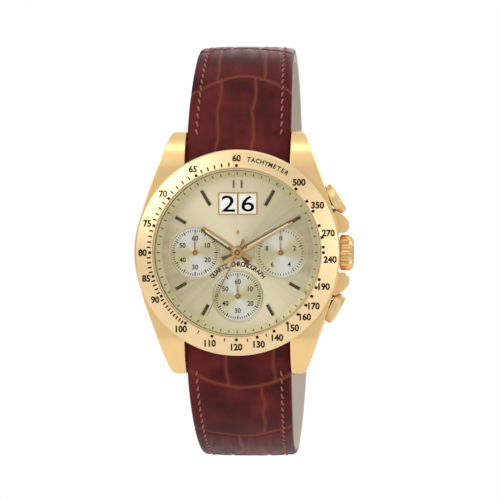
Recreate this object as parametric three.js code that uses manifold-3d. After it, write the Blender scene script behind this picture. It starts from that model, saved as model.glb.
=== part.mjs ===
// Chronograph wristwatch with a big date, three counters, a tachymeter bezel and an open leather strap.
//
// The watch is drawn in its own frame: x to 3 o'clock, y to 12 o'clock, z out of the dial, with z = 0 on
// the outer face of the case back. The last lines turn it upright, so 12 o'clock is +Z and the dial
// faces -Y. Lengths are millimetres.

import * as THREE from 'three';
import { mergeVertices } from 'three/addons/utils/BufferGeometryUtils.js';
import Module from 'manifold-3d';

const wasm = await Module();
wasm.setup();

// ---------------------------------------------------------------- driving dimensions

const LUG_GAP = 20;
const LUG_TO_LUG = 46.1;
const SPRING_BAR_Y = 20.8;
const SPRING_BAR_Z = 3.2;

const CASE_BOTTOM_Z = 1.3;
const CASE_TOP_Z = 8.2;
const CASE_BORE_R = 15.6;
const CASE_END_R = 18.4;
const CASE_HALF_WIDTH = 19.3;
const LUG_FOOT_Z = 0.3;

const BEZEL_R = 19.5;
const BEZEL_BORE_R = 15.9;
const BEZEL_TOP_Z = 10.15;

const CRYSTAL_R = 15.55;
const CRYSTAL_BOTTOM_Z = 9.0;
const CRYSTAL_TOP_Z = 10.4;

const DIAL_R = 15.4;
const DIAL_BOTTOM_Z = 6.2;
const DIAL_TOP_Z = 6.6;
const DIAL_OPENING_R = 14.4;

const COUNTER_OFFSET = 8.15;
const COUNTER_OFFSET_DOWN = 8.25;
const COUNTER_R = 5.05;

const DATE_Y = 9.3;
const DATE_WINDOW_W = 3.05;
const DATE_WINDOW_H = 3.8;
const DATE_BAR_W = 0.36;
const DATE_FRAME_W = 7.5;
const DATE_FRAME_H = 4.3;

const MOVEMENT_R = 14.9;
const PLATE_BOTTOM_Z = 3.2;
const PLATE_TOP_Z = 4.8;

const STEM_Z = 3.9;
const CROWN_R = 3.4;
const CROWN_INNER_X = 19.25;
const CROWN_OUTER_X = 21.9;

const PUSHER_Z = 4.3;
const PUSHER_CAP_R = 2.95;
const PUSHER_INNER_R = 20.05;
const PUSHER_OUTER_R = 22.1;
const PUSHER_SEAT_R = 19.15;
const PUSHER_ANGLES = { upper: 29, lower: -30 };

const STRAP_W_LUG = 19.7;
const STRAP_W_END = 18;
const UPPER_START = 29.5;
const LOWER_START = 32;
const UPPER_LENGTH = 80;
const LOWER_LENGTH = 106;

const ROUND = 48;
const MEDIUM = 24;
const SMALL = 12;
const MERGE_DISTANCE = 1e-4;

const degrees = THREE.MathUtils.degToRad;

// ---------------------------------------------------------------- solids

// A closed triangle mesh becomes a solid: shared corners, no flat triangles, faces pointing out.
function solid(geometry) {
  const bare = geometry.clone();
  bare.deleteAttribute('normal');
  bare.deleteAttribute('uv');
  const merged = mergeVertices(bare, MERGE_DISTANCE);
  const vertProperties = new Float32Array(merged.attributes.position.array);
  const corners = merged.index.array;
  const kept = [];
  let volume = 0;
  for (let i = 0; i < corners.length; i += 3) {
    const [a, b, c] = [corners[i], corners[i + 1], corners[i + 2]];
    if (a === b || b === c || c === a) continue;
    kept.push(a, b, c);
    const [pa, pb, pc] = [a, b, c].map((k) => new THREE.Vector3().fromArray(vertProperties, 3 * k));
    volume += pa.dot(pb.cross(pc));
  }
  const triVerts = new Uint32Array(kept);
  if (volume < 0) triVerts.reverse();
  return new wasm.Manifold(new wasm.Mesh({ numProp: 3, vertProperties, triVerts }));
}

function geometryOf(shape) {
  const mesh = shape.getMesh();
  const geometry = new THREE.BufferGeometry();
  geometry.setAttribute('position', new THREE.BufferAttribute(new Float32Array(mesh.vertProperties), 3));
  geometry.setIndex(new THREE.BufferAttribute(new Uint32Array(mesh.triVerts), 1));
  geometry.computeVertexNormals();
  return geometry;
}

function joined(shapes) {
  return shapes.reduce((whole, shape) => whole.add(shape));
}

function cut(shape, cutters) {
  return cutters.reduce((rest, cutter) => rest.subtract(cutter), shape);
}

// ---------------------------------------------------------------- basic shapes, all along z

function outline(points) {
  return new THREE.Shape(points.map(([x, y]) => new THREE.Vector2(x, y)));
}

function extrudedGeometry(shape, low, high, curveSegments = 6) {
  const geometry = new THREE.ExtrudeGeometry(shape, {
    depth: high - low,
    bevelEnabled: false,
    curveSegments,
  });
  return geometry.translate(0, 0, low);
}

function extruded(shape, low, high, curveSegments) {
  return solid(extrudedGeometry(shape, low, high, curveSegments));
}

function disc(radius, low, high, segments = ROUND, x = 0, y = 0) {
  const geometry = new THREE.CylinderGeometry(radius, radius, high - low, segments);
  return solid(geometry.rotateX(Math.PI / 2).translate(x, y, (low + high) / 2));
}

function turnedGeometry(profile, segments = ROUND) {
  const points = profile.map(([radius, height]) => new THREE.Vector2(radius, height));
  return new THREE.LatheGeometry(points, segments).rotateX(Math.PI / 2);
}

function turned(profile, segments) {
  return solid(turnedGeometry(profile, segments));
}

function ringProfile(inner, outer, low, high) {
  return [[inner, low], [outer, low], [outer, high], [inner, high], [inner, low]];
}

function ring(inner, outer, low, high, segments) {
  return turned(ringProfile(inner, outer, low, high), segments);
}

function block([x0, x1], [y0, y1], [z0, z1]) {
  const geometry = new THREE.BoxGeometry(x1 - x0, y1 - y0, z1 - z0);
  return solid(geometry.translate((x0 + x1) / 2, (y0 + y1) / 2, (z0 + z1) / 2));
}

// Turns a shape drawn along z so that it points out of the case sideways, at an angle from 3 o'clock.
function pointedOut(geometry, angle, height) {
  return geometry.rotateY(Math.PI / 2).rotateZ(angle).translate(0, 0, height);
}

function rod(radius, start, end, angle, height, segments = SMALL) {
  const geometry = new THREE.CylinderGeometry(radius, radius, end - start, segments);
  geometry.rotateX(Math.PI / 2).translate(0, 0, (start + end) / 2);
  return solid(pointedOut(geometry, angle, height));
}

function turnedOut(profile, segments, angle, height) {
  return solid(pointedOut(turnedGeometry(profile, segments), angle, height));
}

function polar(radius, angle) {
  return [radius * Math.cos(angle), radius * Math.sin(angle)];
}

function roundedRectangle(halfWidth, low, high, corner) {
  const shape = new THREE.Shape();
  shape.moveTo(-halfWidth + corner, low);
  shape.lineTo(halfWidth - corner, low);
  shape.absarc(halfWidth - corner, low + corner, corner, -Math.PI / 2, 0);
  shape.lineTo(halfWidth, high - corner);
  shape.absarc(halfWidth - corner, high - corner, corner, 0, Math.PI / 2);
  shape.lineTo(-halfWidth + corner, high);
  shape.absarc(-halfWidth + corner, high - corner, corner, Math.PI / 2, Math.PI);
  shape.lineTo(-halfWidth, low + corner);
  shape.absarc(-halfWidth + corner, low + corner, corner, Math.PI, 1.5 * Math.PI);
  return shape;
}

// ---------------------------------------------------------------- materials and nodes

const FINISHES = {
  gold: { color: 0xe6c183, roughness: 0.32, metalness: 1 },
  goldBright: { color: 0xe9c98d, roughness: 0.15, metalness: 1 },
  dial: { color: 0xc9b68d, roughness: 0.4, metalness: 0.6 },
  steel: { color: 0xb9bcc0, roughness: 0.35, metalness: 1 },
  brass: { color: 0xc7a65a, roughness: 0.4, metalness: 1 },
  glass: { color: 0xf4f8fa, roughness: 0.05, metalness: 0, transparent: true, opacity: 0.25 },
  rubber: { color: 0x1c1c1e, roughness: 0.8, metalness: 0 },
  nylon: { color: 0xe6e2d6, roughness: 0.6, metalness: 0 },
  board: { color: 0x2c6b45, roughness: 0.5, metalness: 0 },
  copper: { color: 0xb5683a, roughness: 0.4, metalness: 1 },
  enamel: { color: 0xf8fbfa, roughness: 0.45, metalness: 0 },
  leather: { color: 0x68332f, roughness: 0.55, metalness: 0 },
};

const watch = new THREE.Group();

function piece(name, shape, finish) {
  const mesh = new THREE.Mesh(geometryOf(shape), new THREE.MeshStandardMaterial(FINISHES[finish]));
  mesh.name = name;
  watch.add(mesh);
  return mesh;
}

// ---------------------------------------------------------------- case

const GUARD_HIGH_Z = 6.7;
const GUARD_LOW_Z = 1.5;
const LUG_OUTER_X = 12.6;
const LUG_TIP_Y = LUG_TO_LUG / 2;
const GASKET_GROOVE = [15.7, 16.4, 1.75];
const BACK_SCREW_R = 16.95;
const TUBE_R = 1.25;
const CROWN_TUBE_R = 0.95;
const FIT = 0.02;

function casePlan() {
  const corner = 0.9;
  const shape = new THREE.Shape();
  shape.moveTo(-LUG_OUTER_X + corner, -LUG_TIP_Y);
  shape.lineTo(LUG_OUTER_X - corner, -LUG_TIP_Y);
  shape.quadraticCurveTo(LUG_OUTER_X, -LUG_TIP_Y, LUG_OUTER_X + 0.4, -LUG_TIP_Y + corner);
  shape.lineTo(16.2, -13.4);
  shape.quadraticCurveTo(CASE_HALF_WIDTH, -5.5, CASE_HALF_WIDTH, 0);
  shape.quadraticCurveTo(CASE_HALF_WIDTH, 5.5, 16.2, 13.4);
  shape.lineTo(LUG_OUTER_X + 0.4, LUG_TIP_Y - corner);
  shape.quadraticCurveTo(LUG_OUTER_X, LUG_TIP_Y, LUG_OUTER_X - corner, LUG_TIP_Y);
  shape.lineTo(-LUG_OUTER_X + corner, LUG_TIP_Y);
  shape.quadraticCurveTo(-LUG_OUTER_X, LUG_TIP_Y, -LUG_OUTER_X - 0.4, LUG_TIP_Y - corner);
  shape.lineTo(-16.2, 13.4);
  shape.quadraticCurveTo(-CASE_HALF_WIDTH, 5.5, -CASE_HALF_WIDTH, 0);
  shape.quadraticCurveTo(-CASE_HALF_WIDTH, -5.5, -16.2, -13.4);
  shape.lineTo(-LUG_OUTER_X - 0.4, -LUG_TIP_Y + corner);
  shape.quadraticCurveTo(-LUG_OUTER_X, -LUG_TIP_Y, -LUG_OUTER_X + corner, -LUG_TIP_Y);
  return shape;
}

// Side view: a flat body whose lugs curve down to low tips at both ends.
function caseSideView() {
  const shape = new THREE.Shape();
  shape.moveTo(-14, CASE_TOP_Z);
  shape.lineTo(14, CASE_TOP_Z);
  shape.quadraticCurveTo(20.6, 7.9, LUG_TIP_Y + 0.1, 3.3);
  shape.quadraticCurveTo(LUG_TIP_Y + 0.1, LUG_FOOT_Z, 21.6, LUG_FOOT_Z);
  shape.quadraticCurveTo(19, LUG_FOOT_Z + 0.1, 15, CASE_BOTTOM_Z);
  shape.lineTo(-15, CASE_BOTTOM_Z);
  shape.quadraticCurveTo(-19, LUG_FOOT_Z + 0.1, -21.6, LUG_FOOT_Z);
  shape.quadraticCurveTo(-LUG_TIP_Y - 0.1, LUG_FOOT_Z, -LUG_TIP_Y - 0.1, 3.3);
  shape.quadraticCurveTo(-20.6, 7.9, -14, CASE_TOP_Z);
  return shape;
}

function crownGuard(side) {
  const corners = [[17, 3.7], [20.4, 3.8], [21, 4.5], [20.9, 6.3], [19.9, 7.3], [17, 9.2]];
  const placed = corners.map(([x, y]) => [x, side * y]);
  return extruded(outline(side > 0 ? placed : placed.reverse()), GUARD_LOW_Z, GUARD_HIGH_Z);
}

function backScrewPlaces() {
  return [45, 135, 225, 315].map((angle) => polar(BACK_SCREW_R, degrees(angle)));
}

function caseMiddle() {
  const side = extrudedGeometry(caseSideView(), -22, 22, 5);
  side.rotateX(Math.PI / 2).rotateZ(Math.PI / 2);
  let body = extruded(casePlan(), -1, 9, 5).intersect(solid(side));
  body = joined([body, crownGuard(1), crownGuard(-1)]);
  const betweenLugs = [1, -1].map((end) => {
    const span = [end * 13, end * 25].sort((a, b) => a - b);
    return block([-LUG_GAP / 2, LUG_GAP / 2], span, [-1, 9]).subtract(disc(CASE_END_R, -2, 10));
  });
  const barHoles = [1, -1].map((end) => {
    const hole = new THREE.CylinderGeometry(0.45, 0.45, 2 * 11.4, SMALL).rotateZ(Math.PI / 2);
    return solid(hole.translate(0, end * SPRING_BAR_Y, SPRING_BAR_Z));
  });
  const pusherHoles = Object.values(PUSHER_ANGLES).flatMap((angle) => [
    rod(3.05, PUSHER_SEAT_R, 24, degrees(angle), PUSHER_Z, MEDIUM),
    rod(TUBE_R + FIT, 14, 20, degrees(angle), PUSHER_Z),
  ]);
  const screwHoles = backScrewPlaces().map(([x, y]) => disc(0.5, 1, 3.3, 12, x, y));
  return cut(body, [
    ...betweenLugs,
    disc(18, -2, CASE_BOTTOM_Z),
    disc(CASE_BORE_R, 0, 9),
    ring(GASKET_GROOVE[0], GASKET_GROOVE[1], 1, GASKET_GROOVE[2]),
    ...barHoles,
    ...pusherHoles,
    ...screwHoles,
    block([18.9, 22], [-3.6, 3.6], [-1, 7.6]),
    rod(CROWN_TUBE_R + FIT, 14, 20, 0, STEM_Z),
  ]);
}

function bezel() {
  return turned([
    [15.6, 8.25], [19.3, 8.25], [BEZEL_R, 8.45], [BEZEL_R, 8.8], [19.2, 9.1], [16.4, 10.05],
    [16.2, BEZEL_TOP_Z], [15.95, BEZEL_TOP_Z], [BEZEL_BORE_R, 10.05], [BEZEL_BORE_R, 8.95],
    [15.6, 8.95], [15.6, 8.25],
  ]);
}

function crystal() {
  return turned([
    [0, CRYSTAL_BOTTOM_Z], [CRYSTAL_R, CRYSTAL_BOTTOM_Z], [CRYSTAL_R, 10.2],
    [CRYSTAL_R - 0.2, CRYSTAL_TOP_Z], [0, CRYSTAL_TOP_Z],
  ]);
}

function flangeRing() {
  return turned([
    [DIAL_OPENING_R, 6.63], [15.5, 6.63], [15.5, 8.9], [15.4, 8.9], [DIAL_OPENING_R, 6.8],
    [DIAL_OPENING_R, 6.63],
  ]);
}

function caseBack() {
  const plate = turned([
    [0, 0], [15.9, 0], [16.4, 0.08], [17.6, 0.55], [17.9, 0.9], [17.9, 1.25], [15, 1.25], [15, 0.75],
    [0, 0.75],
  ]);
  const holes = backScrewPlaces().flatMap(([x, y]) => [
    disc(0.5, -1, 2, 12, x, y),
    disc(0.8, -1, 0.72, 12, x, y),
  ]);
  return cut(plate, holes);
}

function backScrew([x, y]) {
  const head = disc(0.75, 0.26, 0.7, 12, x, y);
  const shank = disc(0.45, 0.6, 3.2, 12, x, y);
  const slot = block([x - 1, x + 1], [y - 0.12, y + 0.12], [0.1, 0.42]);
  return joined([head, shank]).subtract(slot);
}

piece('case_middle', caseMiddle(), 'gold');
piece('bezel', bezel(), 'gold');
piece('crystal', crystal(), 'glass');
piece('crystal_gasket', ring(15.58, 15.87, 9.0, 10.1, ROUND), 'nylon');
piece('flange_ring', flangeRing(), 'gold');
piece('case_back', caseBack(), 'steel');
piece('case_back_gasket', ring(15.78, 16.32, 1.28, 1.72, ROUND), 'rubber');
backScrewPlaces().forEach((place, i) => piece(`case_back_screw_${i + 1}`, backScrew(place), 'steel'));

// ---------------------------------------------------------------- dial and its furniture

const INDEX_W = 0.8;
const INDEX_BOTTOM_Z = DIAL_TOP_Z + FIT;
const INDEX_TOP_Z = 6.95;
const INDEX_OUTER_R = 13.65;
const LONG_INDEX_R = 10.35;
const SHORT_INDEX_R = 11.35;
const COUNTERS = {
  left: [-COUNTER_OFFSET, 0],
  right: [COUNTER_OFFSET, 0],
  lower: [0, -COUNTER_OFFSET_DOWN],
};

function dateWindow(side) {
  const inner = DATE_BAR_W / 2;
  const span = side > 0 ? [inner, inner + DATE_WINDOW_W] : [-inner - DATE_WINDOW_W, -inner];
  const rows = [DATE_Y - DATE_WINDOW_H / 2, DATE_Y + DATE_WINDOW_H / 2];
  return block(span, rows, [6, 7.5]);
}

function dial() {
  const holes = Object.values(COUNTERS).map(([x, y]) => disc(0.4, 6, 7, SMALL, x, y));
  const wells = Object.values(COUNTERS).map(([x, y]) => disc(COUNTER_R - 0.25, 6.48, 7, MEDIUM, x, y));
  return cut(disc(DIAL_R, DIAL_BOTTOM_Z, DIAL_TOP_Z), [
    disc(1.15, 6, 7, SMALL),
    ...holes,
    ...wells,
    dateWindow(1),
    dateWindow(-1),
  ]);
}

function dateFrame() {
  const half = DATE_FRAME_H / 2;
  const shape = roundedRectangle(DATE_FRAME_W / 2, DATE_Y - half, DATE_Y + half, 0.25);
  return cut(extruded(shape, INDEX_BOTTOM_Z, 6.85, 2), [dateWindow(1), dateWindow(-1)]);
}

// A bar with a ridge along its middle, from the inner to the outer radius, at a clock angle.
function indexBar(clock, inner, outer, width, shift = 0) {
  const half = width / 2;
  const section = outline([
    [-half, INDEX_BOTTOM_Z], [half, INDEX_BOTTOM_Z], [half, 6.8], [0, INDEX_TOP_Z], [-half, 6.8],
  ]);
  const bar = extrudedGeometry(section, inner, outer);
  bar.rotateX(-Math.PI / 2).scale(1, 1, -1);
  bar.translate(shift, 0, 0).rotateZ(-degrees(clock * 30));
  return solid(bar);
}

piece('dial', dial(), 'dial');
piece('date_window_frame', dateFrame(), 'goldBright');
piece('index_12_left', indexBar(12, 12.25, 13.75, 0.4, -0.76), 'goldBright');
piece('index_12_right', indexBar(12, 12.25, 13.75, 0.4, 0.76), 'goldBright');
[1, 2, 4, 5, 7, 8, 10, 11].forEach((hour) => {
  const inner = hour === 1 || hour === 11 ? LONG_INDEX_R : SHORT_INDEX_R;
  const name = `index_${String(hour).padStart(2, '0')}`;
  piece(name, indexBar(hour, inner, INDEX_OUTER_R, INDEX_W), 'goldBright');
});

// ---------------------------------------------------------------- movement

const MOTION_CENTRE_DISTANCE = 3.6;
const MOTION_ANGLE = degrees(-45);
const MINUTE_WHEEL_PLACE = polar(MOTION_CENTRE_DISTANCE, MOTION_ANGLE);
const CANNON_TEETH = 12;
const MINUTE_WHEEL_TEETH = 36;
const MINUTE_PINION_TEETH = 10;
const HOUR_TEETH = 40;
const TENS_PLACE = [-4.2, DATE_Y];
const UNITS_PLACE = [4.0, 6.9];
const TENS_R = 4.1;
const UNITS_R = 6.3;
const BATTERY_PLACE = [-6.2, -6.2];
const BATTERY_R = 4.75;
const CLUTCH_X = [9.7, 11.1];

// Spur wheel with straight-sided teeth; one tooth is centred at the given angle.
function gear(teeth, pitchRadius, angle, low, high, [x, y] = [0, 0]) {
  const unit = (2 * pitchRadius) / teeth;
  const step = (2 * Math.PI) / teeth;
  const corners = [];
  for (let tooth = 0; tooth < teeth; tooth += 1) {
    const middle = angle + tooth * step;
    const sides = [[-0.3, -1.15], [-0.12, 0.75], [0.12, 0.75], [0.3, -1.15]];
    for (const [turn, rise] of sides) {
      corners.push(polar(pitchRadius + rise * unit, middle + turn * step));
    }
  }
  return solid(extrudedGeometry(outline(corners), low, high).translate(x, y, 0));
}

function counterArborHoles(low, high) {
  return [[0, 0], ...Object.values(COUNTERS)].map(([x, y]) => disc(0.36, low, high, 12, x, y));
}

function mainPlate() {
  const plate = disc(MOVEMENT_R, PLATE_BOTTOM_Z, PLATE_TOP_Z, ROUND);
  const rim = ring(MOVEMENT_R - 0.5, MOVEMENT_R, PLATE_TOP_Z - 0.2, 6.15, ROUND);
  const posts = [
    disc(0.45, PLATE_TOP_Z - 0.2, 6.05, 12, ...TENS_PLACE),
    disc(0.45, PLATE_TOP_Z - 0.2, 5.8, 12, ...UNITS_PLACE),
    disc(0.25, PLATE_TOP_Z - 0.2, 5.52, 12, ...MINUTE_WHEEL_PLACE),
  ];
  return cut(joined([plate, rim, ...posts]), [
    ...counterArborHoles(PLATE_TOP_Z - 1.2, 5),
    disc(BATTERY_R + 0.1, 3, 3.9, MEDIUM, ...BATTERY_PLACE),
    block([8.8, 16], [-0.8, 0.8], [3, 4.55]),
    block([CLUTCH_X[0] - 0.2, CLUTCH_X[1] + 0.2], [-1.1, 1.1], [3, 5]),
  ]);
}

function movementHolder() {
  const shell = ring(MOVEMENT_R + 0.05, 15.5, 1.7, 6.15, ROUND);
  const openings = [0, ...Object.values(PUSHER_ANGLES)].map((angle) => {
    const gap = new THREE.BoxGeometry(4, 2.8, 3.6).translate(15.2, 0, 4);
    return solid(gap.rotateZ(degrees(angle)));
  });
  return cut(shell, openings);
}

function circuitBoard() {
  return cut(disc(14.6, 2.75, 3.1, ROUND), [
    disc(BATTERY_R + 0.15, 2, 4, MEDIUM, ...BATTERY_PLACE),
    block([8.4, 16], [-1.3, 1.3], [2, 4]),
  ]);
}

function batteryClamp() {
  const [x, y] = BATTERY_PLACE;
  const strip = new THREE.BoxGeometry(13, 2.4, 0.16).translate(0, 0, 1.44);
  const foot = (side) => new THREE.BoxGeometry(1.3, 2.4, 1.25).translate(side * 5.85, 0, 2.05);
  const parts = [strip, foot(1), foot(-1)].map((part) => part.rotateZ(degrees(-45)).translate(x, y, 0));
  return joined(parts.map(solid));
}

function motorCoil() {
  const winding = new THREE.CylinderGeometry(0.5, 0.5, 6, 12).rotateZ(Math.PI / 2);
  const cheek = (side) => new THREE.CylinderGeometry(0.62, 0.62, 0.5, 12)
    .rotateZ(Math.PI / 2).translate(side * 3.1, 0, 0);
  const parts = [winding, cheek(1), cheek(-1)];
  return joined(parts.map((part) => solid(part.rotateZ(degrees(40)).translate(-4.5, 6, 2.08))));
}

function cannonPinion() {
  const leaves = gear(CANNON_TEETH, 0.9, MOTION_ANGLE, 4.9, 5.2);
  const pipe = disc(0.62, 4.9, 7.68, SMALL);
  return joined([leaves, pipe]).subtract(disc(0.36, 4, 9, 12));
}

function hourWheel() {
  const wheel = gear(HOUR_TEETH, 2.88, MOTION_ANGLE, 5.25, 5.45);
  const pipe = disc(1, 5.25, 7.28, SMALL);
  return joined([wheel, pipe]).subtract(disc(0.7, 4, 9, SMALL));
}

function minuteWheel() {
  const facing = MOTION_ANGLE + Math.PI;
  const wheelAngle = facing + Math.PI / MINUTE_WHEEL_TEETH;
  const pinionAngle = facing + Math.PI / MINUTE_PINION_TEETH;
  const wheel = gear(MINUTE_WHEEL_TEETH, 2.7, wheelAngle, 4.92, 5.16, MINUTE_WHEEL_PLACE);
  const pinion = gear(MINUTE_PINION_TEETH, 0.72, pinionAngle, 5.1, 5.5, MINUTE_WHEEL_PLACE);
  return joined([wheel, pinion]).subtract(disc(0.31, 4, 6, 12, ...MINUTE_WHEEL_PLACE));
}

function dateDisc(radius, low, high, [x, y]) {
  return disc(radius, low, high, MEDIUM, x, y).subtract(disc(0.53, 5, 7, 12, x, y));
}

piece('movement_holder', movementHolder(), 'nylon');
piece('main_plate', mainPlate(), 'brass');
piece('circuit_board', circuitBoard(), 'board');
piece('battery', disc(BATTERY_R, 1.6, 3.7, MEDIUM, ...BATTERY_PLACE), 'steel');
piece('battery_clamp', batteryClamp(), 'steel');
piece('motor_coil', motorCoil(), 'copper');
piece('cannon_pinion', cannonPinion(), 'brass');
piece('hour_wheel', hourWheel(), 'brass');
piece('minute_wheel', minuteWheel(), 'brass');
piece('date_tens_disc', dateDisc(TENS_R, 5.88, 6.1, TENS_PLACE), 'enamel');
piece('date_units_disc', dateDisc(UNITS_R, 5.58, 5.78, UNITS_PLACE), 'enamel');

// ---------------------------------------------------------------- hands

const HOUR_ANGLE = 304;
const MINUTE_ANGLE = 60.4;
const CHRONO_ANGLE = 205.7;

// A hand lies along +y before it is turned clockwise to its angle on the dial.
function hand(corners, hubRadius, hole, low, high, angle, segments = SMALL) {
  const blade = extrudedGeometry(outline(corners), low, high).rotateZ(-degrees(angle));
  const plate = joined([solid(blade), disc(hubRadius, low, high, segments)]);
  return hole > 0 ? plate.subtract(disc(hole, low - 1, high + 1, segments)) : plate;
}

function baton(tail, tailWidth, middle, middleWidth, tip, tipWidth) {
  return [
    [-tailWidth / 2, -tail], [tailWidth / 2, -tail], [middleWidth / 2, middle], [tipWidth / 2, tip - 0.5],
    [0, tip], [-tipWidth / 2, tip - 0.5], [-middleWidth / 2, middle],
  ];
}

function chronoHand() {
  const needle = hand(baton(2.8, 0.6, 3, 0.3, 13.3, 0.16), 0.85, 0, 7.86, 8.04, CHRONO_ANGLE);
  return joined([needle, disc(0.27, 3.9, 8, 12), disc(0.5, 7.9, 8.25, SMALL)]);
}

function counterHand([x, y]) {
  const needle = hand(baton(0.9, 0.3, 1.5, 0.3, 4.05, 0.1), 0.6, 0, 6.86, 6.96, 0, 12);
  const arbor = disc(0.22, 3.9, 6.9, 10);
  return joined([needle, arbor]).translate([x, y, 0]);
}

const hourBaton = baton(2.75, 1.5, 1.5, 1.45, 8.2, 1.0);
const minuteBaton = baton(3.1, 1.35, 1.5, 1.25, 11.95, 0.75);
piece('hour_hand', hand(hourBaton, 1.5, 1.02, 7.06, 7.26, HOUR_ANGLE), 'goldBright');
piece('minute_hand', hand(minuteBaton, 1.3, 0.64, 7.46, 7.66, MINUTE_ANGLE), 'goldBright');
piece('chrono_seconds_hand', chronoHand(), 'goldBright');
piece('minute_counter_hand', counterHand(COUNTERS.left), 'goldBright');
piece('tenths_counter_hand', counterHand(COUNTERS.right), 'goldBright');
piece('small_seconds_hand', counterHand(COUNTERS.lower), 'goldBright');

// ---------------------------------------------------------------- crown and pushers

const CROWN_FLUTES = 15;
const STEM_R = 0.5;
const SQUARE_HALF = 0.27;

function crown() {
  const profile = [
    [0, CROWN_INNER_X + 1.3], [1.15, CROWN_INNER_X + 1.3], [1.15, CROWN_INNER_X],
    [CROWN_R - 0.35, CROWN_INNER_X], [CROWN_R, CROWN_INNER_X + 0.35], [CROWN_R, CROWN_OUTER_X - 0.75],
    [CROWN_R - 0.4, CROWN_OUTER_X - 0.2], [CROWN_R - 1.2, CROWN_OUTER_X], [0, CROWN_OUTER_X],
  ];
  const flutes = [];
  for (let i = 0; i < CROWN_FLUTES; i += 1) {
    const [x, y] = polar(CROWN_R + 0.18, (i * 2 * Math.PI) / CROWN_FLUTES);
    const groove = new THREE.CylinderGeometry(0.4, 0.4, 4, 4).rotateX(Math.PI / 2);
    groove.translate(x, y, CROWN_OUTER_X - 0.75 - 2);
    flutes.push(solid(pointedOut(groove, 0, STEM_Z)));
  }
  const stemSeat = rod(STEM_R + FIT, CROWN_INNER_X, CROWN_INNER_X + 2, 0, STEM_Z, 12);
  return cut(turnedOut(profile, CROWN_FLUTES * 2, 0, STEM_Z), [...flutes, stemSeat]);
}

function stem() {
  const square = [-SQUARE_HALF, SQUARE_HALF];
  const height = square.map((half) => half + STEM_Z);
  return joined([
    rod(STEM_R, 12.2, CROWN_INNER_X + 1.95, 0, STEM_Z, 12),
    block([9, 12.3], square, height),
  ]);
}

function clutchWheel() {
  const hole = SQUARE_HALF + 0.06;
  const wheel = gear(14, 0.76, 0, ...CLUTCH_X);
  const turnedWheel = pointedOut(geometryOf(wheel), 0, STEM_Z);
  return solid(turnedWheel).subtract(block([9, 12], [-hole, hole], [STEM_Z - hole, STEM_Z + hole]));
}

function pusher(angle) {
  const profile = [
    [0, 15.9], [0.7, 15.9], [0.7, PUSHER_INNER_R + 0.75], [1.6, PUSHER_INNER_R + 0.75],
    [1.6, PUSHER_INNER_R], [PUSHER_CAP_R - 0.15, PUSHER_INNER_R], [PUSHER_CAP_R, PUSHER_INNER_R + 0.15],
    [PUSHER_CAP_R, PUSHER_OUTER_R - 0.45], [PUSHER_CAP_R - 0.3, PUSHER_OUTER_R - 0.15],
    [PUSHER_CAP_R - 1.1, PUSHER_OUTER_R], [0, PUSHER_OUTER_R],
  ];
  return turnedOut(profile, MEDIUM, angle, PUSHER_Z);
}

class Helix extends THREE.Curve {
  constructor(radius, start, end, turns) {
    super();
    Object.assign(this, { radius, start, end, turns });
  }

  getPoint(t) {
    const angle = 2 * Math.PI * this.turns * t;
    const height = this.start + (this.end - this.start) * t;
    return new THREE.Vector3(this.radius * Math.cos(angle), this.radius * Math.sin(angle), height);
  }
}

function pusherSpring(angle) {
  const wire = 0.09;
  const turns = 3;
  const path = new Helix(1.08, PUSHER_SEAT_R + 0.15, PUSHER_INNER_R + 0.62, turns);
  const section = new THREE.Shape().absarc(0, 0, wire, 0, 2 * Math.PI);
  const sweep = { steps: turns * 10, extrudePath: path, curveSegments: 2 };
  const coil = new THREE.ExtrudeGeometry(section, sweep);
  return solid(pointedOut(coil, angle, PUSHER_Z));
}

piece('crown_tube', turnedOut(ringProfile(0.6, CROWN_TUBE_R, 15.7, 20.2), SMALL, 0, STEM_Z), 'gold');
piece('clutch_wheel', clutchWheel(), 'steel');
piece('stem', stem(), 'steel');
piece('crown', crown(), 'gold');
for (const [place, angle] of Object.entries(PUSHER_ANGLES)) {
  const turn = degrees(angle);
  const tube = turnedOut(ringProfile(0.8, TUBE_R, 15.8, PUSHER_SEAT_R), SMALL, turn, PUSHER_Z);
  piece(`${place}_pusher_tube`, tube, 'gold');
  piece(`${place}_pusher`, pusher(turn), 'gold');
  piece(`${place}_pusher_spring`, pusherSpring(turn), 'steel');
}

// ---------------------------------------------------------------- strap

const BARREL_R = 2.05;
const PAD_T = 4.4;
const END_T = 2.4;
const BUCKLE_BARREL_R = 1.45;
const HOLE_COUNT = 7;
const HOLE_PITCH = 6.5;
const FIRST_HOLE = 58;

// The strap's middle line in the plane of y and z, as arcs that follow one another from the spring bar.
class StrapLine {
  constructor(side, startAngle, arcs) {
    this.side = side;
    this.startAngle = degrees(startAngle);
    this.arcs = arcs;
  }

  // The point, the direction away from the case and the outward normal at a distance along the line.
  at(distance) {
    let heading = -this.startAngle;
    let y = SPRING_BAR_Y;
    let z = SPRING_BAR_Z;
    let left = distance;
    for (const { radius, length } of this.arcs) {
      const run = Math.min(left, length);
      const turn = run / radius;
      y += radius * (Math.sin(heading) - Math.sin(heading - turn));
      z += radius * (Math.cos(heading - turn) - Math.cos(heading));
      heading -= turn;
      left -= run;
    }
    const along = new THREE.Vector3(0, this.side * Math.cos(heading), Math.sin(heading));
    const out = new THREE.Vector3(0, -this.side * Math.sin(heading), Math.cos(heading));
    return { point: new THREE.Vector3(0, this.side * y, z), along, out };
  }

  // Places a shape drawn flat, with y along the strap and z outwards, at a distance along the line.
  matrixAt(distance, lift = 0) {
    const { point, along, out } = this.at(distance);
    const across = new THREE.Vector3(this.side, 0, 0);
    const matrix = new THREE.Matrix4().makeBasis(across, along, out);
    return matrix.setPosition(point.clone().addScaledVector(out, lift));
  }
}

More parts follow.
